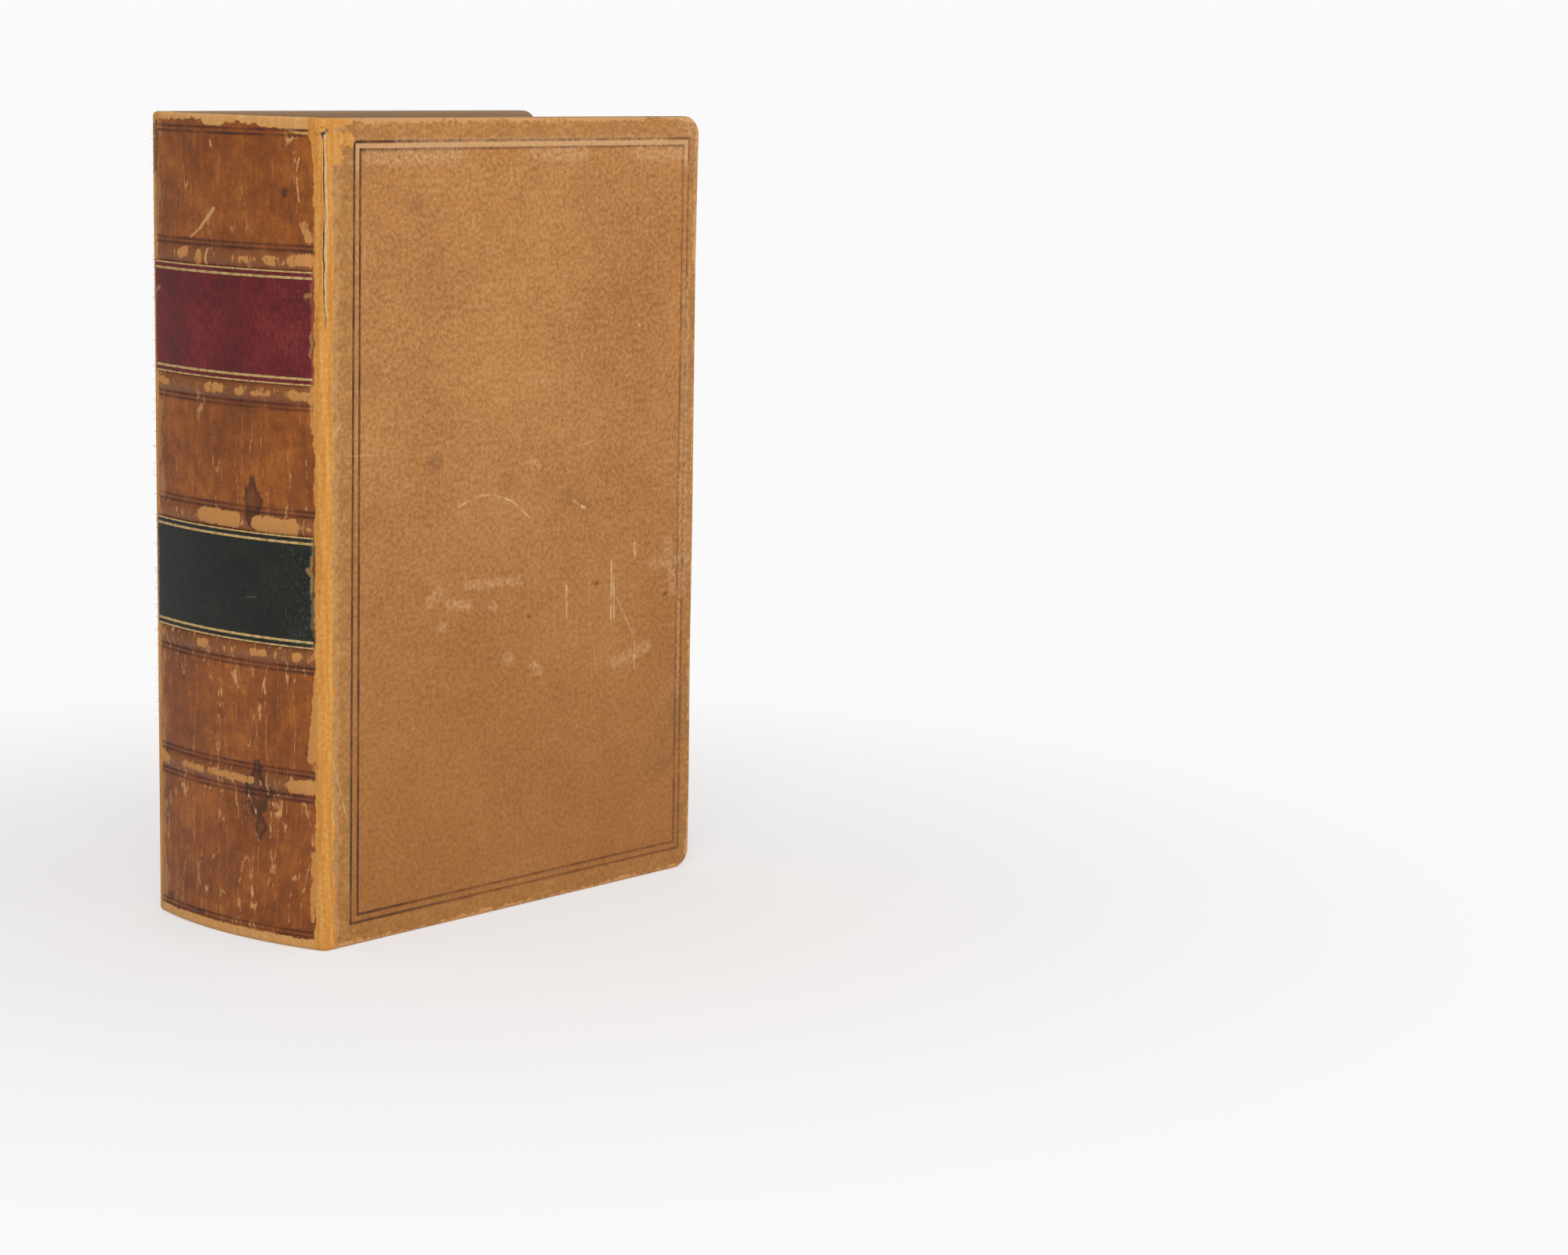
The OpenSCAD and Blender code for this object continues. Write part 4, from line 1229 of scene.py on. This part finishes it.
def page_edge_tree():
    """Presses the valleys between the sections into the edges of a block, and makes each
    section stand a little more or less proud than the next."""
    tree, given = new_tree("page_edges", (
        ("Section Thickness", "Float", SECTION_THICKNESS), ("Valley Depth", "Float", 0.3),
        ("Unevenness", "Float", 0.25), ("Seed", "Float", 4.0), ("Paper", "Material", None)))
    place = add(tree, "GeometryNodeInputPosition")
    across = add(tree, "ShaderNodeSeparateXYZ", {"Vector": place}, out="Y")
    across = calc(tree, "MULTIPLY", across, 1 / MM)
    count = calc(tree, "DIVIDE", across, given["Section Thickness"])
    share = calc(tree, "FRACT", count)
    away = calc(tree, "MULTIPLY_ADD", share, 2.0, -1.0)
    away = calc(tree, "ABSOLUTE", away)
    valley = calc(tree, "POWER", away, 6.0)
    valley = calc(tree, "MULTIPLY", valley, given["Valley Depth"])
    section = calc(tree, "FLOOR", count)
    lot = calc(tree, "ADD", section, given["Seed"])
    lot = add(tree, "ShaderNodeTexWhiteNoise", {"W": lot}, out="Value",
              noise_dimensions="1D")
    step = calc(tree, "MULTIPLY", lot, given["Unevenness"])
    sunk = calc(tree, "ADD", valley, step)
    sunk = calc(tree, "MULTIPLY", sunk, -MM)
    normal = add(tree, "GeometryNodeInputNormal", out="Normal")
    sideways = add(tree, "ShaderNodeSeparateXYZ", {"Vector": normal}, out="Y")
    sideways = calc(tree, "ABSOLUTE", sideways)
    edge = calc(tree, "LESS_THAN", sideways, 0.5)
    offset = add(tree, "ShaderNodeVectorMath", {"Vector": normal, "Scale": sunk},
                 operation="SCALE")
    shaped = add(tree, "GeometryNodeSetPosition", {"Geometry": given["Geometry"],
                 "Selection": edge, "Offset": offset})
    whole = add(tree, "GeometryNodeRealizeInstances", {"Geometry": shaped})
    end_tree(tree, add(tree, "GeometryNodeSetMaterial", {"Geometry": whole,
             "Material": given["Paper"]}))
    return tree


def text_block():
    """The block of sewn sections: rounded and backed at the spine, hollow at the fore-edge."""
    low, high = solid_box("text_block")
    face = -solid_box("front_flyleaf")[1].y
    tip = high.y
    back_radius = SPINE_AXIS - low.x
    fore_radius = (face ** 2 + FORE_HOLLOW ** 2) / (2 * FORE_HOLLOW)
    count = round(2 * face / SECTION_THICKNESS)
    thickness = 2 * face / count
    cuts = [0.0, 0.1, 0.3, 0.5, 0.7, 0.9]
    leaf = np.array([(k + c) / count * 2 - 1 for k in range(count) for c in cuts] + [1.0])
    steps = 20

    def plan(leaf, k):
        """Plan of a leaf at step k, from the back to the fore-edge."""
        reach = np.where(k < 2, tip, face)
        y = leaf * reach
        back = SPINE_AXIS - np.sqrt(back_radius ** 2 - y ** 2)
        fore = (high.x + fore_radius - FORE_HOLLOW
                - np.sqrt(fore_radius ** 2 - (leaf * face) ** 2))
        near = back + np.where(k == 1, 1.2, 2.87)
        share = np.clip((k - 2) / (steps - 2), 0, 1)
        x = np.where(k == 0, back, np.where(k <= 2, near, near + (fore - near) * share))
        return x, y

    def face_grid(leaf, k, z):
        x, y = plan(leaf, k)
        return np.stack([x, y, z], -1) * MM, np.stack([y, z], -1), []

    heights = np.linspace(low.z, high.z, 46)
    along = np.arange(steps + 1)
    grids = []
    for z in (low.z, high.z):
        a, k = np.meshgrid(leaf, along)
        grids.append(face_grid(a, k, np.full(a.shape, z)))
    for k in (0, steps):
        a, z = np.meshgrid(leaf, heights)
        grids.append(face_grid(a, np.full(a.shape, k), z))
    for a in (-1.0, 1.0):
        k, z = np.meshgrid(along, heights)
        grids.append(face_grid(np.full(k.shape, a), k, z))
    base = piece_from_grids("block_form", grids)
    shape = bmesh.new()
    shape.from_mesh(base.data)
    bmesh.ops.recalc_face_normals(shape, faces=shape.faces)
    shape.to_mesh(base.data)
    shape.free()
    piece = grown("text_block_pages", page_edge_tree(), base, {
        "Section Thickness": thickness, "Valley Depth": 0.3, "Unevenness": 0.25, "Seed": 4.0,
        "Paper": FINISH["page_edges"]})
    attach(piece, "book_block")
    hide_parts("text_block")


def endband_tree():
    """Winds rings of thread round a core, side by side, in stripes of two colours."""
    tree, given = new_tree("wound_endband", (
        ("Thread Pitch", "Float", 0.56 * MM), ("Core Radius", "Float", 0.85 * MM),
        ("Thread Radius", "Float", 0.27 * MM), ("Stripe", "Int", 3),
        ("Dark Silk", "Material", None), ("Light Silk", "Material", None)))
    path = add(tree, "GeometryNodeCurveToPoints", {"Curve": given["Geometry"],
               "Length": given["Thread Pitch"]}, out="Points", mode="LENGTH")
    turn = path.node.outputs["Rotation"]
    ring = add(tree, "GeometryNodeCurvePrimitiveCircle", {"Resolution": 12,
               "Radius": given["Core Radius"]}, out="Curve")
    section = add(tree, "GeometryNodeCurvePrimitiveCircle", {"Resolution": 6,
                  "Radius": given["Thread Radius"]}, out="Curve")
    thread = add(tree, "GeometryNodeCurveToMesh", {"Curve": ring, "Profile Curve": section})
    place = add(tree, "GeometryNodeInputIndex")
    group = calc(tree, "DIVIDE", place, given["Stripe"])
    group = calc(tree, "FLOOR", group)
    group = calc(tree, "MODULO", group, 2.0)
    rows = []
    for wanted, finish in ((0.0, "Dark Silk"), (1.0, "Light Silk")):
        chosen = calc(tree, "COMPARE", group, wanted, 0.1)
        rings = add(tree, "GeometryNodeInstanceOnPoints", {"Points": path,
                    "Selection": chosen, "Instance": thread, "Rotation": turn})
        whole = add(tree, "GeometryNodeRealizeInstances", {"Geometry": rings})
        rows.append(add(tree, "GeometryNodeSetMaterial", {"Geometry": whole,
                        "Material": given[finish]}))
    join = tree.nodes.new("GeometryNodeJoinGeometry")
    for row in rows:
        tree.links.new(row, join.inputs["Geometry"])
    end_tree(tree, join.outputs["Geometry"])
    return tree


def endband(node, tree, head):
    """A cord wound with silk, which lies along the end of the block. The solid's skirt is
    hidden under the paper lining and is left out here."""
    low, high = solid_box(node)
    radius = SPINE_AXIS - solid_box("text_block")[0].x - ENDBAND_RADIUS / 2
    reach = JOINT_ANGLE - CARD_INSET / SPINE_RADIUS
    z = high.z - ENDBAND_RADIUS if head else low.z + ENDBAND_RADIUS
    line = bpy.data.curves.new(node + "_line", "CURVE")
    line.dimensions = "3D"
    spline = line.splines.new("POLY")
    turns = np.linspace(-reach, reach, 49)
    spline.points.add(len(turns) - 1)
    for point, turn in zip(spline.points, turns):
        point.co = ((SPINE_AXIS - radius * math.cos(turn)) * MM, radius * math.sin(turn) * MM,
                    z * MM, 1)
    base = placed_object(node + "_line", line)
    piece = grown(node + "_silk", tree, base, {
        "Dark Silk": FINISH["red_silk"], "Light Silk": FINISH["cream_silk"]})
    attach(piece, "book_block")
    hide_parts(node)


def paper_strip(name, line, low, high, thickness, finish, body, replaced):
    """A sheet of paper that stands upright along a line in plan."""
    line = np.array(line)
    run = np.concatenate([[0], np.cumsum(np.linalg.norm(np.diff(line, axis=0), axis=1))])
    heights = np.linspace(low, high, 9)
    points = np.array([[(x, y, z) for x, y in line] for z in heights]) * MM
    places = np.array([[(r, z) for r in run] for z in heights])
    piece = piece_from_grids(name, [(points, places, [])], materials=(FINISH[finish],))
    wall = piece.modifiers.new("thickness", "SOLIDIFY")
    wall.thickness = thickness * MM
    wall.offset = 0
    finished(piece)
    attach(piece, body)
    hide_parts(replaced)


def endpapers(side):
    """The pastedown on the board and the flyleaf on the block. Each runs on into the joint,
    where its hinge lines the board's edge and the shoulder."""
    word = "front" if side < 0 else "back"
    low, high = solid_box(word + "_pastedown")
    inner = min(abs(low.y), abs(high.y))
    paper = abs(high.y - low.y)
    board_x = solid_box("front_board")[0].x
    under = HALF - LEATHER - paper / 2
    bend = np.radians(np.linspace(92, 118, 5))
    small = JOINT_RADIUS - LEATHER - paper / 2
    line = [(high.x, inner + paper / 2), (board_x - 0.02, inner + paper / 2),
            (board_x - paper / 2, inner + 0.5), (board_x - paper / 2, under - 0.3),
            (board_x - 0.4, under)]
    line += [(JOINT_X + small * math.cos(a), HALF - JOINT_RADIUS + small * math.sin(a))
             for a in bend]
    paper_strip(word + "_pastedown_sheet", [(x, side * y) for x, y in line], low.z, high.z,
                paper, "endpaper", word + "_cover", word + "_pastedown")
    low, high = solid_box(word + "_flyleaf")
    inner = min(abs(low.y), abs(high.y))
    tip = solid_box("text_block")[1].y
    line = [(high.x, inner + paper / 2), (board_x + 0.02, inner + paper / 2),
            (board_x - 0.25, inner + 0.35), (board_x - 0.62, tip - 0.9),
            (board_x - 0.95, tip + 0.12), (board_x - 2.2, tip + 0.14),
            (board_x - 4.6, tip - 0.05)]
    paper_strip(word + "_flyleaf_sheet", [(x, side * y) for x, y in line], low.z, high.z,
                paper, "endpaper", "book_block", word + "_flyleaf")


def dress_solids():
    """Gives the solids that keep their own shape their finishes."""
    finishes = {"spine_mull": "mull", "spine_paper_lining": "kraft", "spine_stiffener": "card",
                "spine_cloth_lining": "green_cloth", "front_board": "millboard",
                "back_board": "millboard"}
    finishes.update({f"sewing_tape_{k}": "tape" for k in range(1, 5)})
    finishes.update({f"band_strip_{k}": "card" for k in range(1, BAND_COUNT + 1)})
    for node, finish in finishes.items():
        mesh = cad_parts[node].data
        mesh.materials.clear()
        mesh.materials.append(FINISH[finish])


def make_stage():
    """A plain pale floor, a white surround for the camera, and soft studio lamps."""
    floor_mesh = bpy.data.meshes.new("floor")
    reach = 6.0
    floor_mesh.from_pydata([(-reach, -reach, 0), (reach, -reach, 0), (reach, reach, 0),
                            (-reach, reach, 0)], [], [(0, 1, 2, 3)])
    floor = placed_object("floor", floor_mesh)
    # White seamless paper: it shows a soft shadow by the book and fades to the surround
    material, tree, shader = new_material("white_seamless_paper", Roughness=0.9)
    shader.inputs["Base Color"].default_value = tint("#f4f2f1")
    away = add(tree, "ShaderNodeVectorMath", {"Vector": object_place(tree)}, out="Value",
               operation="LENGTH")
    fade = add(tree, "ShaderNodeMapRange", {"Value": away, "From Min": 120.0,
               "From Max": 420.0, "To Min": 0.55, "To Max": 1.0},
               interpolation_type="SMOOTHSTEP")
    seen = add(tree, "ShaderNodeLightPath", out="Is Camera Ray")
    fade = calc(tree, "MULTIPLY", fade, seen)
    white = add(tree, "ShaderNodeEmission", {"Color": tint("#fbfafa"), "Strength": 1.0})
    surface = tree.nodes["Material Output"].inputs["Surface"]
    tree.links.new(add(tree, "ShaderNodeMixShader", {"Fac": fade,
                   "Shader": shader.outputs["BSDF"], "Shader_001": white}), surface)
    floor_mesh.materials.append(material)

    world = bpy.data.worlds.new("studio")
    bpy.context.scene.world = world
    world.use_nodes = True
    tree = world.node_tree
    tree.nodes.clear()
    seen = add(tree, "ShaderNodeLightPath", out="Is Camera Ray")
    fill = add(tree, "ShaderNodeBackground", {"Color": (1, 1, 1, 1), "Strength": 0.34})
    white = add(tree, "ShaderNodeBackground", {"Color": tint("#fbfafa"), "Strength": 1.0})
    both = add(tree, "ShaderNodeMixShader", {"Fac": seen, "Shader": fill,
               "Shader_001": white})
    end = tree.nodes.new("ShaderNodeOutputWorld")
    tree.links.new(both, end.inputs["Surface"])

    for name, place, size, power in (("key", (-1.6, -1.5, 1.5), 1.4, 24),
                                     ("front_fill", (0.5, -2.2, 1.1), 1.6, 15),
                                     ("top", (0.0, 0.2, 2.2), 2.0, 13)):
        lamp = bpy.data.lights.new(name, "AREA")
        lamp.size = size
        lamp.energy = power
        holder = placed_object(name, lamp)
        holder.location = place
        aim = Vector((0, 0, 0.12)) - Vector(place)
        holder.rotation_euler = aim.to_track_quat("-Z", "Y").to_euler()
    bpy.context.scene.view_settings.view_transform = "Standard"


def make_camera():
    """The photograph's camera."""
    turn, rise, roll = (math.radians(a) for a in
                        (CAMERA_AZIMUTH, CAMERA_ELEVATION, CAMERA_ROLL))
    back = Vector((math.sin(turn) * math.cos(rise), -math.cos(turn) * math.cos(rise),
                   math.sin(rise)))
    right = (-back).cross(Vector((0, 0, 1))).normalized()
    up = right.cross(-back)
    across = right * math.cos(roll) + up * math.sin(roll)
    upward = up * math.cos(roll) - right * math.sin(roll)
    data = bpy.data.cameras.new("camera")
    data.lens = CAMERA_LENS
    data.sensor_width = SENSOR_WIDTH
    data.sensor_fit = "HORIZONTAL"
    data.clip_start = 0.01
    camera = placed_object("camera", data)
    placed = Matrix((across, upward, back)).transposed().to_4x4()
    placed.translation = Vector(CAMERA_PLACE) * MM
    camera.matrix_world = placed
    bpy.context.scene.camera = camera


make_camera()
make_stage()
for cover_side in (-1, 1):
    cover_skin(cover_side)
    endpapers(cover_side)
spine_skin()
split_lining()
fraying = fibre_tree()
torn_fibres("split_joint_fibres", fraying, ((-0.9, -0.2, 196, 248), (-2.4, 0.2, 249, 251.4)),
            -1, {"Spacing": 1.1 * MM, "Length": 0.9 * MM, "Hide": FINISH["flesh_side"]})
torn_fibres("worn_spine_fibres", fraying, ((-3.4, -1.4, 233, 249), (-2.4, -1.4, 60, 230)),
            1, {"Spacing": 1.1 * MM, "Length": 1.6 * MM, "Seed": 8,
                "Hide": FINISH["flesh_side"]})
label_piece("title_label", FINISH["title_goat"])
label_piece("author_label", FINISH["author_goat"])
text_block()
winding = endband_tree()
endband("head_endband", winding, True)
endband("tail_endband", winding, False)
dress_solids()
